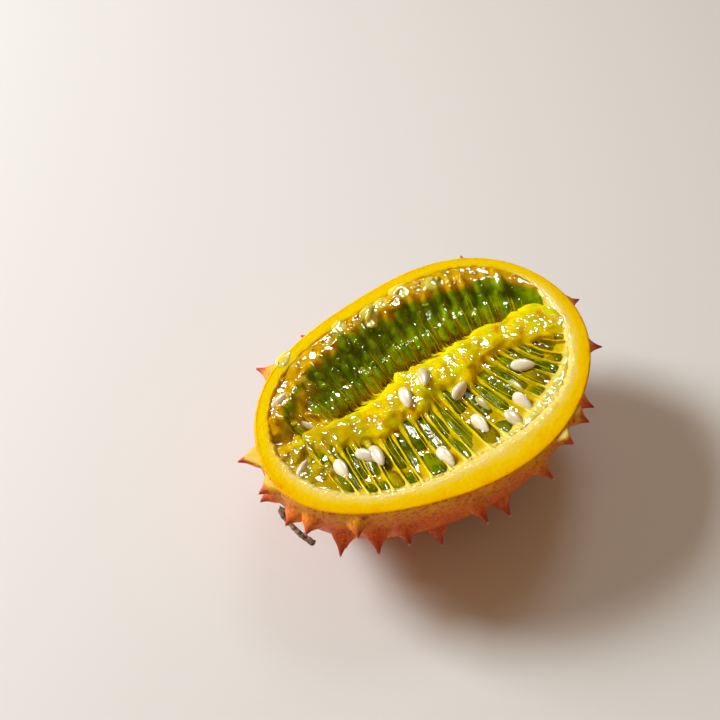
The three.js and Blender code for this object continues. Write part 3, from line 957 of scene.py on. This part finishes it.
def massTop(x, y):
    share, away = chamberShare(x, y)
    pit = smooth((share - 0.06) / 0.1) * (1 - smooth((share - 0.32) / 0.24))
    rim = 0.8 - 1.5 * smooth((share - 0.74) / 0.2)
    nearRim = gelMass["nearSink"] * (1 - 0.85 * smooth((share - 0.84) / 0.12))
    below = np.where(away < 0, nearRim, rim + gelMass["pit"] * pit)
    left = leftShare(x, away)
    return pulpTop(x, y) - (below * (1 - left) + 0.2 * left)


def insideCavity(x, y, room):
    turn = math.atan2(y / fruit["halfWidth"], x / fruit["halfLength"])
    edge = cavityPoint(turn, 0.0, room)
    return math.hypot(x, y) < math.hypot(edge[0], edge[1])


strands = {-1: webStarts(-1), 1: webStarts(1)}
drawWander = makeDraw(91)
wander = {sign: [1.8 * (drawWander() - 0.5) for start in strands[sign]] for sign in (-1, 1)}


def strandAt(index, share, sign):
    # A strand leaves the core at its start and wanders a little on its way to the wall
    return strandPoint(strands[sign][index] + wander[sign][index] * share ** 1.5, share, sign)


def readPoints(mesh):
    co = np.empty(len(mesh.vertices) * 3)
    mesh.vertices.foreach_get("co", co)
    return co.reshape(-1, 3)


def joinMeshes(name, pieces):
    points, faces, start = [], [], 0
    for piece in pieces:
        mesh = piece.data
        points.append(readPoints(mesh))
        faces += [tuple(v + start for v in face.vertices) for face in mesh.polygons]
        start += len(mesh.vertices)
        bpy.data.objects.remove(piece)
    return makeObject(name, makeMesh(name, np.concatenate(points), faces))


def fuse(name, pieces, voxel, smoothing):
    # Draws one skin round several closed pieces and softens their creases
    whole = joinMeshes(name, pieces)
    skin = whole.modifiers.new("fuse", "REMESH")
    skin.mode = "VOXEL"
    skin.voxel_size = voxel * mm
    skin.use_smooth_shade = True
    soften = whole.modifiers.new("soften", "SMOOTH")
    soften.factor = 0.5
    soften.iterations = smoothing
    return flatten(whole)


def meshPoints(mesh):
    return (readPoints(mesh) - rimCentre) / mm


def setAttribute(mesh, name, values):
    layer = mesh.attributes.new(name, "FLOAT", "POINT")
    layer.data.foreach_set("value", np.asarray(values, float))


def makeSlab():
    # The gel's upper layer as a closed slab that follows the cavity's edge
    rows, columns = gelMass["rows"], gelMass["columns"]
    turn = np.linspace(0, 2 * np.pi, columns, endpoint=False)
    rim = cavityPoint(turn, math.radians(2), gelMass["inset"])
    tops, bottoms = [], []
    for r in range(1, rows + 1):
        ring = rim * (r / rows)
        z = massTop(ring[:, 0], ring[:, 1])
        lump = np.array([softNoise(x, y, 5.0, 3.2) + 0.5 * softNoise(x, y, 1.0, 1.5)
                         for x, y in ring[:, :2]])
        ring[:, 2] = z + gelMass["lump"] * lump
        tops += list(ring)
        low = ring.copy()
        low[:, 2] = z - gelMass["slab"]
        bottoms += list(low)
    count = rows * columns
    centre = float(massTop(0.0, 0.01))
    points = tops + bottoms + [(0, 0, centre), (0, 0, centre - gelMass["slab"])]
    faces = fanFaces(0, columns, 2 * count) + fanFaces(count, columns, 2 * count + 1, True)
    faces += gridFaces(rows, columns, 0, True) + gridFaces(rows, columns, count)
    last = count - columns
    for c in range(columns):
        d = (c + 1) % columns
        faces.append((last + c, count + last + c, count + last + d, last + d))
    return makeObject("slab", makeMesh("slab", placed(points), faces))


farSac = {"tiers": (0.5, 0.68, 0.86), "halfLength": 4.3, "halfWidth": 1.7, "halfHeight": 1.5, "room": 1.5}
leftSac = {"trials": 190, "leftmost": -50, "along": 34, "across": 40, "nearPart": 0.32, "smallest": 0.7,
           "spread": 1.1}


def farSacPlaces():
    draw = makeDraw(41)
    places = []
    for i in range(len(strands[1]) - 1):
        for tier in farSac["tiers"]:
            share = tier + 0.1 * (draw() - 0.5)
            at = (strandAt(i, share, 1) + strandAt(i + 1, share, 1)) / 2 + 1.2 * (draw() - 0.5)
            ahead = strandAt(i, share + 0.1, 1) - strandAt(i, share, 1)
            size = 0.75 + 0.45 * draw()
            if insideCavity(at[0], at[1], farSac["room"]):
                rise = float(massTop(*(at + ahead))) - float(massTop(*at))
                places.append({
                    "at": (at[0], at[1], float(massTop(at[0], at[1])) - 0.5 + 0.5 * draw()),
                    "aim": (ahead[0], ahead[1], rise + 0.6 * draw()),
                    "size": (farSac["halfLength"] * size, farSac["halfWidth"] * (0.8 + 0.3 * draw()),
                             farSac["halfHeight"] * size)})
    for k in range(leftSac["trials"]):
        x = leftSac["leftmost"] + leftSac["along"] * draw()
        middle = float(coreLine(x))
        y = middle + leftSac["across"] * (draw() - leftSac["nearPart"])
        spin = 2 * math.pi * draw()
        if insideCavity(x, y, farSac["room"]) and leftShare(x, y - middle) > 0.3:
            size = leftSac["smallest"] + leftSac["spread"] * draw()
            places.append({
                "at": (x, y, float(massTop(x, y)) - 0.4 * size),
                "aim": (math.cos(spin), math.sin(spin), 0.3),
                "size": (1.6 * size, size, 0.8 * size)})
    return places


def strandDistance(x, share, sign):
    # Distance along the fruit to the nearest strand of that side
    nearest = np.full(x.shape, 9.0)
    for start, sway in zip(strands[sign], wander[sign]):
        moved = start + sway * share ** 1.5
        nearest = np.minimum(nearest, np.abs(x - moved - strandFan(moved, sign) * share))
    return nearest


# Clear lumps along the far edge: along, across, height above the cut, half sizes, heading, tint
goo = [
    (4.2, 30.8, -0.2, (3.8, 2.0, 1.2), 20, "lime"), (27.0, 26.4, -0.6, (3.0, 2.5, 1.5), 40, "lime"),
    (17.0, 31.6, -0.2, (3.6, 1.7, 0.9), 0, "cream"), (-26.4, 33.4, -0.5, (3.8, 2.2, 0.9), 25, "cream"),
    (3.0, 27.6, -1.1, (2.4, 1.3, 1.0), 60, "cream"), (9.5, 31.2, -0.3, (2.6, 1.5, 0.9), 10, "cream"),
    (13.1, 28.6, -0.3, (3.2, 3.0, 1.1), 0, "amber"), (-6.0, 33.0, -0.3, (2.8, 1.4, 0.8), 12, "cream")]
gooTints = {"lime": {"pale": 0.55, "amber": 0.1}, "cream": {"pale": 0.95, "amber": 0.8},
            "amber": {"pale": 0.0, "amber": 1.0}}


def gooPlaces():
    places = []
    for x, y, z, size, heading, tint in goo:
        angle = math.radians(heading)
        places.append({"at": (x, y, z), "aim": (math.cos(angle), math.sin(angle), 0), "size": size})
    return places


def makeGel():
    sacs = setOutPiece("farSacs", farSacPlaces(), sacShape, sacMaterial)
    lumps = setOutPiece("lumps", gooPlaces(), sacShape, sacMaterial)
    gel = fuse("gelMass", [makeSlab(), sacs, lumps], gelMass["voxel"], gelMass["smoothing"])
    x, y, z = meshPoints(gel.data).T
    share, away = chamberShare(x, y)
    left = leftShare(x, away)
    far = away > 0
    band = np.array([softNoise(a, b, 7.0, 6.0) for a, b in zip(x, y)])
    amber = np.where(far, smooth((share - 0.84 + 0.14 * band) / 0.12), 0.6)
    amber = np.maximum(amber, left * smooth(0.52 + 1.4 * band))
    # Painted shade: the far gel darkens with its depth below the pulp's top, down in the hollow
    deep = smooth((pulpTop(x, y) - z - 1.6) / 2.2)
    pit = np.where(far, deep, 0) * (1 - left)
    vein = 0.7 * np.exp(-(strandDistance(x, share, 1) / 0.7) ** 2) * (1 - smooth((share - 0.5) / 0.3))
    vein = vein + (0.5 + 0.5 * band) * (1 - smooth((share - 0.3) / 0.22))
    vein = np.where(far, vein, 0.75 + 0.5 * band) * (1 - left)
    core = 0.8 * np.exp(-(away / 4.5) ** 2) * left
    vein = np.maximum(vein, core)
    wet = np.where(far, smooth((share - 0.35) / 0.2), left)
    pale = np.where(far, 0, smooth((share - 0.84) / 0.12))
    for lumpX, lumpY, lumpZ, size, heading, tint in goo:
        reach = np.hypot(x - lumpX, y - lumpY) / size[0]
        on = smooth((1.05 - reach) / 0.3) * smooth((z - lumpZ + 0.6) / 0.5)
        pale = np.maximum(pale, on * gooTints[tint]["pale"])
        amber = amber * (1 - on) + on * gooTints[tint]["amber"]
    for name, values in (("amber", amber), ("pit", pit), ("vein", vein), ("wet", wet), ("pale", pale)):
        setAttribute(gel.data, name, values)
    gel.data.materials.clear()
    gel.data.materials.append(pulpMaterial)
    beads = makeObject("beads", gel.data.copy())
    setAttribute(beads.data, "glaze", np.ones(len(x)))
    grow(beads, scatterBeads, shape=beadShape, density=bead["density"], smallest=bead["smallest"],
         largest=bead["largest"], material=pulpMaterial)
    finishPiece(gel, "sacs", "sacs_near", "sacs_far")
    finishPiece(beads, "sacs")
    return BVHTree.FromObject(gel, bpy.context.evaluated_depsgraph_get())


def heightOn(surface, x, y):
    # Height in millimetres of the gel's surface above or below the cut at that place
    hit = surface.ray_cast(Vector(placed((x, y, 5))), Vector((0, 0, -1)))[0]
    return (hit.z - rimCentre[2]) / mm if hit else float(massTop(x, y))


bed = {"columns": 96, "inset": 0.35, "drops": (22, 35, 50, 65, 78)}


def makeBed():
    # The pulp below the upper layer, down to the flesh
    columns = bed["columns"]
    turn = np.linspace(0, 2 * np.pi, columns, endpoint=False)
    rings = [cavityPoint(turn, math.radians(drop), bed["inset"]) for drop in bed["drops"]]
    bottom = (0, 0, -(fruit["depth"] - wall["bottom"] - bed["inset"]))
    points = [(0, 0, float(rings[0][0][2])), *np.concatenate(rings), bottom]
    faces = fanFaces(1, columns, 0) + gridFaces(len(rings), columns, 1, True)
    faces += fanFaces(len(points) - 1 - columns, columns, len(points) - 1, True)
    mesh = makeMesh("pulpBed", placed(points), faces)
    finishPiece(makeObject("pulpBed", mesh, sacMaterial), "sacs", "sacs_near", "sacs_far")


ridge = {"leftEnd": -43, "rightEnd": 51, "near": 5.4, "far": 4.9, "halfHeight": 3.2, "crest": 0.05,
         "tilt": 0.4, "rings": 170, "sides": 48, "voxel": 0.36, "sunk": 1.1, "endHeight": -3.3}
nearLobes = [(-23, 3.0, 5), (-8, 2.4, 3.5), (10.5, 3.6, 5), (39, 2.6, 6)]  # along, reach, half length
farLobes = [(-4, 2.2, 7), (26, 0.9, 4), (44, 3.5, 7)]
cord = {"nearRadius": 2.4, "farRadius": 2.0, "thin": 0.24, "wallRadius": 1.1, "flareEnd": 0.5,
        "farFlareEnd": 0.44, "farShare": 0.62, "steps": 26, "sides": 8}
webWobble = {"wobble": 0.0007, "wobbleScale": 230.0}


def lobeReach(x, lobes):
    return sum(reach * math.exp(-((x - middle) / half) ** 2) for middle, reach, half in lobes)


def ridgeTube():
    points = []
    for x in np.linspace(ridge["leftEnd"], ridge["rightEnd"], ridge["rings"]):
        near = ridge["near"] + lobeReach(x, nearLobes)
        far = ridge["far"] + lobeReach(x, farLobes)
        ends = min(1.0, min(x - ridge["leftEnd"], ridge["rightEnd"] - x) / 5 + 0.15)
        middle = ridge["crest"] - ridge["halfHeight"] - ridge["sunk"] * float(leftShare(x))
        for c in range(ridge["sides"]):
            a = 2 * math.pi * c / ridge["sides"]
            # The near side slopes more gently
            power = 0.6 if math.cos(a) > 0 else 0.9
            flat = math.copysign(abs(math.sin(a)) ** power, math.sin(a))
            wide = math.copysign(abs(math.cos(a)) ** 0.8, math.cos(a))
            y = wide * (far if wide > 0 else near) * ends
            z = flat * ridge["halfHeight"] * ends
            rough = 1 + 0.3 * softNoise(x, y * 1.5, z, 3.4) + 0.12 * softNoise(x, y, z, 1.5)
            lump = 0.8 * softNoise(x, y, 5.0, 4.5) + 0.3 * softNoise(x, y, 9.0, 2.0)
            top = z + ridge["tilt"] * wide + lump * max(0.0, flat)
            points.append((x, coreLine(x) + y * rough, middle + top))
    for x in (ridge["leftEnd"], ridge["rightEnd"]):
        points.append((x, coreLine(x), ridge["endHeight"]))
    sides, last = ridge["sides"], len(points) - 1
    faces = gridFaces(ridge["rings"], sides) + fanFaces(0, sides, last - 1, True)
    faces += fanFaces(last - 1 - sides, sides, last)
    return makeObject("ridgeTube", makeMesh("ridgeTube", placed(points), faces))


def cordRadius(share, sign):
    core = cord["nearRadius"] if sign < 0 else cord["farRadius"]
    flare = max(0.0, 1 - share / (cord["flareEnd"] if sign < 0 else cord["farFlareEnd"])) ** 1.6
    root = float(smooth((share - 0.8) / 0.2)) ** 1.5
    return cord["thin"] + (core - cord["thin"]) * flare + (cord["wallRadius"] - cord["thin"]) * root


def strandTop(surface, x, y, share, sign):
    # Near strands stay level; far ones dive off the core's crest into the hollow and climb the gel
    level = float(pulpTop(x, y))
    if sign < 0:
        return level
    joined = float(smooth((share - 0.17) / 0.29))
    return level + (heightOn(surface, x, y) + 0.12 - level) * joined


def makeCords(name, sign, first, last, surface):
    draw = makeDraw(51 if sign < 0 else 52)
    lines = []
    for index in range(len(strands[sign])):
        grown = 0.4 + 1.0 * draw()
        spare = draw()
        end = last if sign < 0 or last < cord["farFlareEnd"] else last * (0.78 + 0.36 * spare)
        line = []
        for i in range(cord["steps"]):
            share = first + (end - first) * i / (cord["steps"] - 1)
            x, y = strandAt(index, share, sign)
            radius = cordRadius(share, sign) * grown
            if sign > 0:
                radius *= 1 - 0.6 * float(smooth((share - 0.3) / 0.3))
            at = (x, y, strandTop(surface, x, y, share, sign) - radius + 0.1)
            line.append({"at": at, "thick": radius * mm, "outer": share})
        lines.append(line)
    piece = lineMesh(name, lines)
    return grow(piece, drawFibres, sides=cord["sides"], material=webMaterial, **webWobble)


def makeRidge(surface):
    flares = [makeCords("flares", sign, 0.0, 0.4 if sign < 0 else 0.3, surface) for sign in (-1, 1)]
    whole = fuse("ridge", [ridgeTube(), *flares], ridge["voxel"], 2)
    whole.data.materials.clear()
    whole.data.materials.append(ridgeMaterial)
    x, y, z = meshPoints(whole.data).T
    share, away = chamberShare(x, y)
    setAttribute(whole.data, "outer", share)
    # Painted shade: "low" grows as the ridge sinks below the pulp's top, less on the near side
    low = smooth((pulpTop(x, y) - z - 0.3) / 2.5)
    setAttribute(whole.data, "low", np.where(away > 0, low, 0.25 * low))
    setAttribute(whole.data, "fade", smooth((-20.0 - x) / 18.0))
    finishPiece(whole, "placenta", "placenta")


web = {"thickness": 0.32, "steps": 16, "farShare": 0.46, "sink": 0.35}


def makeWebs(surface):
    for sign, name, last in ((-1, "websNear", 1.0), (1, "websFar", web["farShare"])):
        lines = []
        for index in range(len(strands[sign])):
            line = []
            for i in range(web["steps"]):
                share = 0.05 + (last - 0.05) * i / (web["steps"] - 1)
                x, y = strandAt(index, share, sign)
                at = (x, y, strandTop(surface, x, y, share, sign) - web["sink"])
                shallow = 1.0 if sign < 0 else 1 - 0.8 * float(smooth((share - 0.2) / 0.2))
                depth = (float(webDepth(share)) * shallow + 0.4) * mm
                line.append({"at": at, "depth": depth, "outer": share})
            lines.append(line)
        piece = grow(lineMesh(name, lines), hangSheets, material=webMaterial, **webWobble)
        thicken = piece.modifiers.new("thicken", "SOLIDIFY")
        thicken.thickness = web["thickness"] * mm
        thicken.offset = 0
        finishPiece(flatten(piece), "placenta", "placenta")
        if sign < 0:
            cords = makeCords("cordsNear", sign, 0.25, 1.0, surface)
        else:
            cords = makeCords("cordsFar", sign, 0.14, cord["farShare"], surface)
        finishPiece(cords, "placenta", "placenta")


fibre = {"near": 44, "far": 110, "steps": 14, "leftmost": -38, "along": 78, "thinnest": 0.08, "spread": 0.1,
         "sides": 6, "wobble": 0.0012, "wobbleScale": 180.0}


def makeFibres(surface):
    draw = makeDraw(21)
    for sign, name, count in ((-1, "fibresNear", fibre["near"]), (1, "fibresFar", fibre["far"])):
        lines = []
        for k in range(count):
            start = fibre["leftmost"] + fibre["along"] * (k + draw()) / count
            first = 0.12 + 0.1 * draw()
            last = (0.6 + 0.38 * draw()) if sign < 0 else (0.38 + 0.4 * draw() ** 1.5)
            size = fibre["thinnest"] + fibre["spread"] * draw()
            lean = 3.0 * (draw() - 0.5)
            line = []
            for i in range(fibre["steps"]):
                share = first + (last - first) * i / (fibre["steps"] - 1)
                x, y = strandPoint(start + lean * share, share, sign)
                top = strandTop(surface, x, y, share, sign) - (0.1 if sign < 0 else 0.02)
                thick = size * mm * (1 - 0.5 * i / fibre["steps"])
                line.append({"at": (x, y, top), "thick": thick, "outer": share * 0.8})
            lines.append(line)
        piece = lineMesh(name, lines)
        grow(piece, drawFibres, sides=fibre["sides"], wobble=fibre["wobble"],
             wobbleScale=fibre["wobbleScale"], material=webMaterial)
        finishPiece(piece, "placenta", "placenta")


nearSac = {"halfHeight": 1.8, "lowest": 0.45, "fill": 0.52}


def nearSacPlaces():
    # Long lenses in the slots between the near webs, one or two to a slot
    draw = makeDraw(31)
    places = []
    for i in range(len(strands[-1]) - 1):
        share = 0.12 + 0.1 * draw()
        while share < 0.8:
            end = share + 0.3 + 0.5 * draw()
            if end > 0.74:
                end = 0.96
            a0, a1 = strandAt(i, share, -1), strandAt(i, end, -1)
            b0, b1 = strandAt(i + 1, share, -1), strandAt(i + 1, end, -1)
            centre, span = (a0 + a1 + b0 + b1) / 4, (a1 + b1 - a0 - b0) / 2
            middle = (share + end) / 2
            slot = np.linalg.norm(strandAt(i, middle, -1) - strandAt(i + 1, middle, -1))
            length = np.linalg.norm(span)
            across = slot * abs(span[1]) / length
            if insideCavity(centre[0], centre[1], 2) and leftShare(centre[0], -9) < 0.6:
                glaze = 0.3 if draw() < (0.75 if centre[0] > 26 else 0.12) else 0.0
                still = 1 - 3 * glaze
                top = float(pulpTop(centre[0], centre[1])) - 0.1 - nearSac["lowest"] * draw()
                slope = float(pulpTop(*(centre + span / 2)) - pulpTop(*(centre - span / 2)))
                places.append({
                    "at": (centre[0], centre[1], top - nearSac["halfHeight"]),
                    "aim": (span[0], span[1], slope + 0.2 * (draw() - 0.5) * length),
                    "up": (0.6 * (draw() - 0.5) * still, 0.3 * (draw() - 0.5) * still, 1),
                    "size": (length * 0.58, across * nearSac["fill"], nearSac["halfHeight"]),
                    "tone": draw() ** 1.5, "pit": 0.45 * draw(),
                    "glaze": glaze})
            share = end + 0.03 * draw()
    return places


def makeNearSacs():
    lenses = setOutPiece("sacsNear", nearSacPlaces(), panelShape, sacMaterial)
    finishPiece(lenses, "sacs", "sacs_near")


seeds = {"halfLength": 3.65, "halfWidth": 1.85, "halfThickness": 0.95}
seedPlaces = [  # along, across, heading in degrees, lift, roll in degrees, greenness
    (-10, -1.0, -117, 1.1, 10, 0.0), (-1, 0.8, -130, 1.5, -10, 0.35), (4.4, -8.6, 16, 0.7, 35, 0.0),
    (25, -14.2, -45, 0.6, 30, 0.0), (14.8, -23.6, -88, -0.1, 40, 0.0), (8.4, -26.4, -90, -0.2, 10, 0.3),
    (0.6, -20.6, -96, -0.1, 40, 0.0), (-15.0, -22.5, -96, -0.1, 30, 0.0), (-28.6, -9.4, -108, 0.2, 0, 0.0),
    (-30.6, -7.6, -60, -0.2, 20, 0.0), (-39, -6.2, -102, -0.3, 30, 0.1), (-47.0, 0.6, 30, -0.8, 50, 0.0),
    (6.4, -15.8, -88, -1.0, 20, 0.8), (18.2, -17.0, -84, -1.0, 20, 0.85), (-37, 22.5, 14, -0.6, 40, 0.0),
    (-35.5, 13.3, -60, -0.7, 75, 0.2), (-31, 19.2, -50, -0.9, 75, 0.3)]


def makeSeeds():
    draw = makeDraw(61)
    places = []
    for x, y, heading, lift, roll, green in seedPlaces:
        angle, roll = math.radians(heading), math.radians(roll)
        places.append({
            "at": (x, y, float(pulpTop(x, y)) + lift),
            "aim": (math.cos(angle), math.sin(angle), 0.3 * (draw() - 0.5)),
            "up": (math.sin(roll) * math.sin(angle), -math.sin(roll) * math.cos(angle), math.cos(roll)),
            "size": (seeds["halfLength"], seeds["halfWidth"], seeds["halfThickness"]), "green": green})
    finishPiece(setOutPiece("seeds", places, seedShape, seedMaterial), "seed")


crumbs = {"count": 900, "smallest": 0.14, "spread": 0.3}


def makeCrumbs():
    # Wet granules along the inner edge of the flesh, most of them on the near side
    draw = makeDraw(71)
    places = []
    for k in range(crumbs["count"]):
        turn = 2 * math.pi * draw()
        near = 0.5 - 0.5 * math.sin(turn + 0.3)
        back = draw()
        if back > 0.15 + 0.85 * near:
            continue
        edge = cavityPoint(turn, 0.0, -1.6 + 1.9 * draw())
        size = crumbs["smallest"] + crumbs["spread"] * draw() ** 2
        spin = 2 * math.pi * draw()
        places.append({
            "at": (edge[0], edge[1], -0.65 - 0.3 * draw()),
            "inward": 0.78 + 0.08 * draw(), "wet": 0.3 + 0.7 * draw(), "near": 1.0,
            "aim": (math.cos(spin), math.sin(spin), 0.6 * (draw() - 0.5)),
            "size": (size * (1.2 + 1.2 * draw()), size, size * 0.8)})
    finishPiece(setOutPiece("crumbs", places, beadShape, fleshMaterial), "rind")


gelSurface = makeGel()
makeBed()
print("gel made")
makeRidge(gelSurface)
makeWebs(gelSurface)
makeFibres(gelSurface)
makeNearSacs()
print("webs and sacs made")
makeSeeds()
makeCrumbs()
print("seeds made")


# The dry stalk

stalk = {"radius": 0.75, "flare": 1.1, "length": 12.6, "rings": 60, "sides": 18, "drop": 19,
         "hang": (0.2, -0.84, -0.46)}


def makeStalk():
    drop = math.radians(stalk["drop"])
    out = skinNormal(math.pi, drop)
    root = skinPoint(math.pi, drop) + 0.2 * out
    hang = np.array(stalk["hang"])
    hang = hang / np.linalg.norm(hang)
    knots = [root, root + 1.4 * out + 0.8 * hang, root + 2.2 * out + hang * stalk["length"] / 2,
             root + 1.6 * out + hang * stalk["length"]]
    ends = [2 * knots[0] - knots[1], *knots, 2 * knots[3] - knots[2]]
    path = []
    for i in range(3):
        p0, p1, p2, p3 = ends[i:i + 4]
        for s in np.linspace(0, 1, stalk["rings"] // 3, endpoint=False):
            path.append(0.5 * (2 * p1 + (p2 - p0) * s + (2 * p0 - 5 * p1 + 4 * p2 - p3) * s * s
                               + (3 * p1 - p0 - 3 * p2 + p3) * s ** 3))
    path.append(knots[3])
    path = np.array(path)
    ahead = np.gradient(path, axis=0)
    ahead /= np.linalg.norm(ahead, axis=-1, keepdims=True)
    side = np.cross(ahead, np.array([0.0, 0.0, 1.0]))
    side /= np.linalg.norm(side, axis=-1, keepdims=True)
    over = np.cross(side, ahead)
    points = []
    for i, middle in enumerate(path):
        share = i / (len(path) - 1)
        radius = stalk["radius"] + stalk["flare"] * (1 - share) ** 4 + 0.12 * math.sin(9 * share)
        for c in range(stalk["sides"]):
            a = 2 * math.pi * c / stalk["sides"]
            rib = 1 + 0.1 * math.cos(5 * a + 3 * share)
            away = side[i] * math.cos(a) + over[i] * math.sin(a)
            p = middle + away * radius * rib
            points.append(p + 0.35 * softNoise(*p, 1.1) * away)
    sides, count = stalk["sides"], len(points)
    points += [path[0], path[-1] + ahead[-1] * 0.3]
    faces = gridFaces(len(path), sides) + fanFaces(0, sides, count, True)
    faces += fanFaces(count - sides, sides, count + 1)
    mesh = makeMesh("stalk", placed(points), faces)
    finishPiece(makeObject("stalk", mesh, stalkMaterial), "stem", "stem")


makeStalk()
print("stalk made")


# Floor, lights and camera

studio = {
    "floorHalf": 2.5, "floorColour": (0.74, 0.71, 0.67, 1), "floorRoughness": 0.6,
    "sky": 0.28, "skyInGloss": 0.05, "skyColour": (1, 0.68, 0.38, 1)}
keyLamp = {"place": (-0.5, 0.9, 0.78), "target": (0, 0, 0.03), "power": 21.0, "size": 0.42,
           "colour": (0.88, 0.95, 1)}
windowLamp = {"place": (0.48, 0.4, 1.02), "target": (0, 0, 0.04), "power": 14.0, "size": 0.36,
              "colour": (0.9, 0.95, 1)}
camera = {"place": (-0.16066, -0.14740, 0.31036), "target": (-0.009526, 0.020107, 0.0415), "lens": 60,
          "sensor": 36, "nearest": 0.01}


def makeFloor():
    half = studio["floorHalf"]
    material = startMaterial(
        "paleFloor", baseColor=studio["floorColour"], roughness=studio["floorRoughness"])[0]
    points = [(-half, -half, 0), (half, -half, 0), (half, half, 0), (-half, half, 0)]
    makeObject("floor", makeMesh("floor", points, [(0, 1, 2, 3)]), material)


def aimed(name, data, place, target):
    holder = bpy.data.objects.new(name, data)
    bpy.context.scene.collection.objects.link(holder)
    holder.location = place
    holder.rotation_euler = (Vector(target) - holder.location).to_track_quat("-Z", "Y").to_euler()
    return holder


def addLamp(name, look):
    lamp = bpy.data.lights.new(name, "AREA")
    lamp.energy = look["power"]
    lamp.size = look["size"]
    lamp.color = look["colour"]
    return aimed(name, lamp, look["place"], look["target"])


def makeStudio():
    makeFloor()
    addLamp("key", keyLamp)
    # The window only gives the wet parts their glints
    addLamp("window", windowLamp).visible_diffuse = False
    world = bpy.data.worlds.new("softRoom")
    world.use_nodes = True
    tree = world.node_tree
    gloss = addNode(tree, "ShaderNodeLightPath").outputs["Is Glossy Ray"]
    strength = addNode(tree, "ShaderNodeMapRange", {
        "Value": gloss, "To Min": studio["sky"], "To Max": studio["skyInGloss"]}).outputs[0]
    tree.nodes["Background"].inputs["Color"].default_value = studio["skyColour"]
    tree.links.new(strength, tree.nodes["Background"].inputs["Strength"])
    bpy.context.scene.world = world
    bpy.context.scene.view_settings.view_transform = "Standard"


def makeCamera():
    lens = bpy.data.cameras.new("camera")
    lens.lens = camera["lens"]
    lens.sensor_width = camera["sensor"]
    lens.clip_start = camera["nearest"]
    bpy.context.scene.camera = aimed("camera", lens, camera["place"], camera["target"])


makeStudio()
makeCamera()
print("studio made")
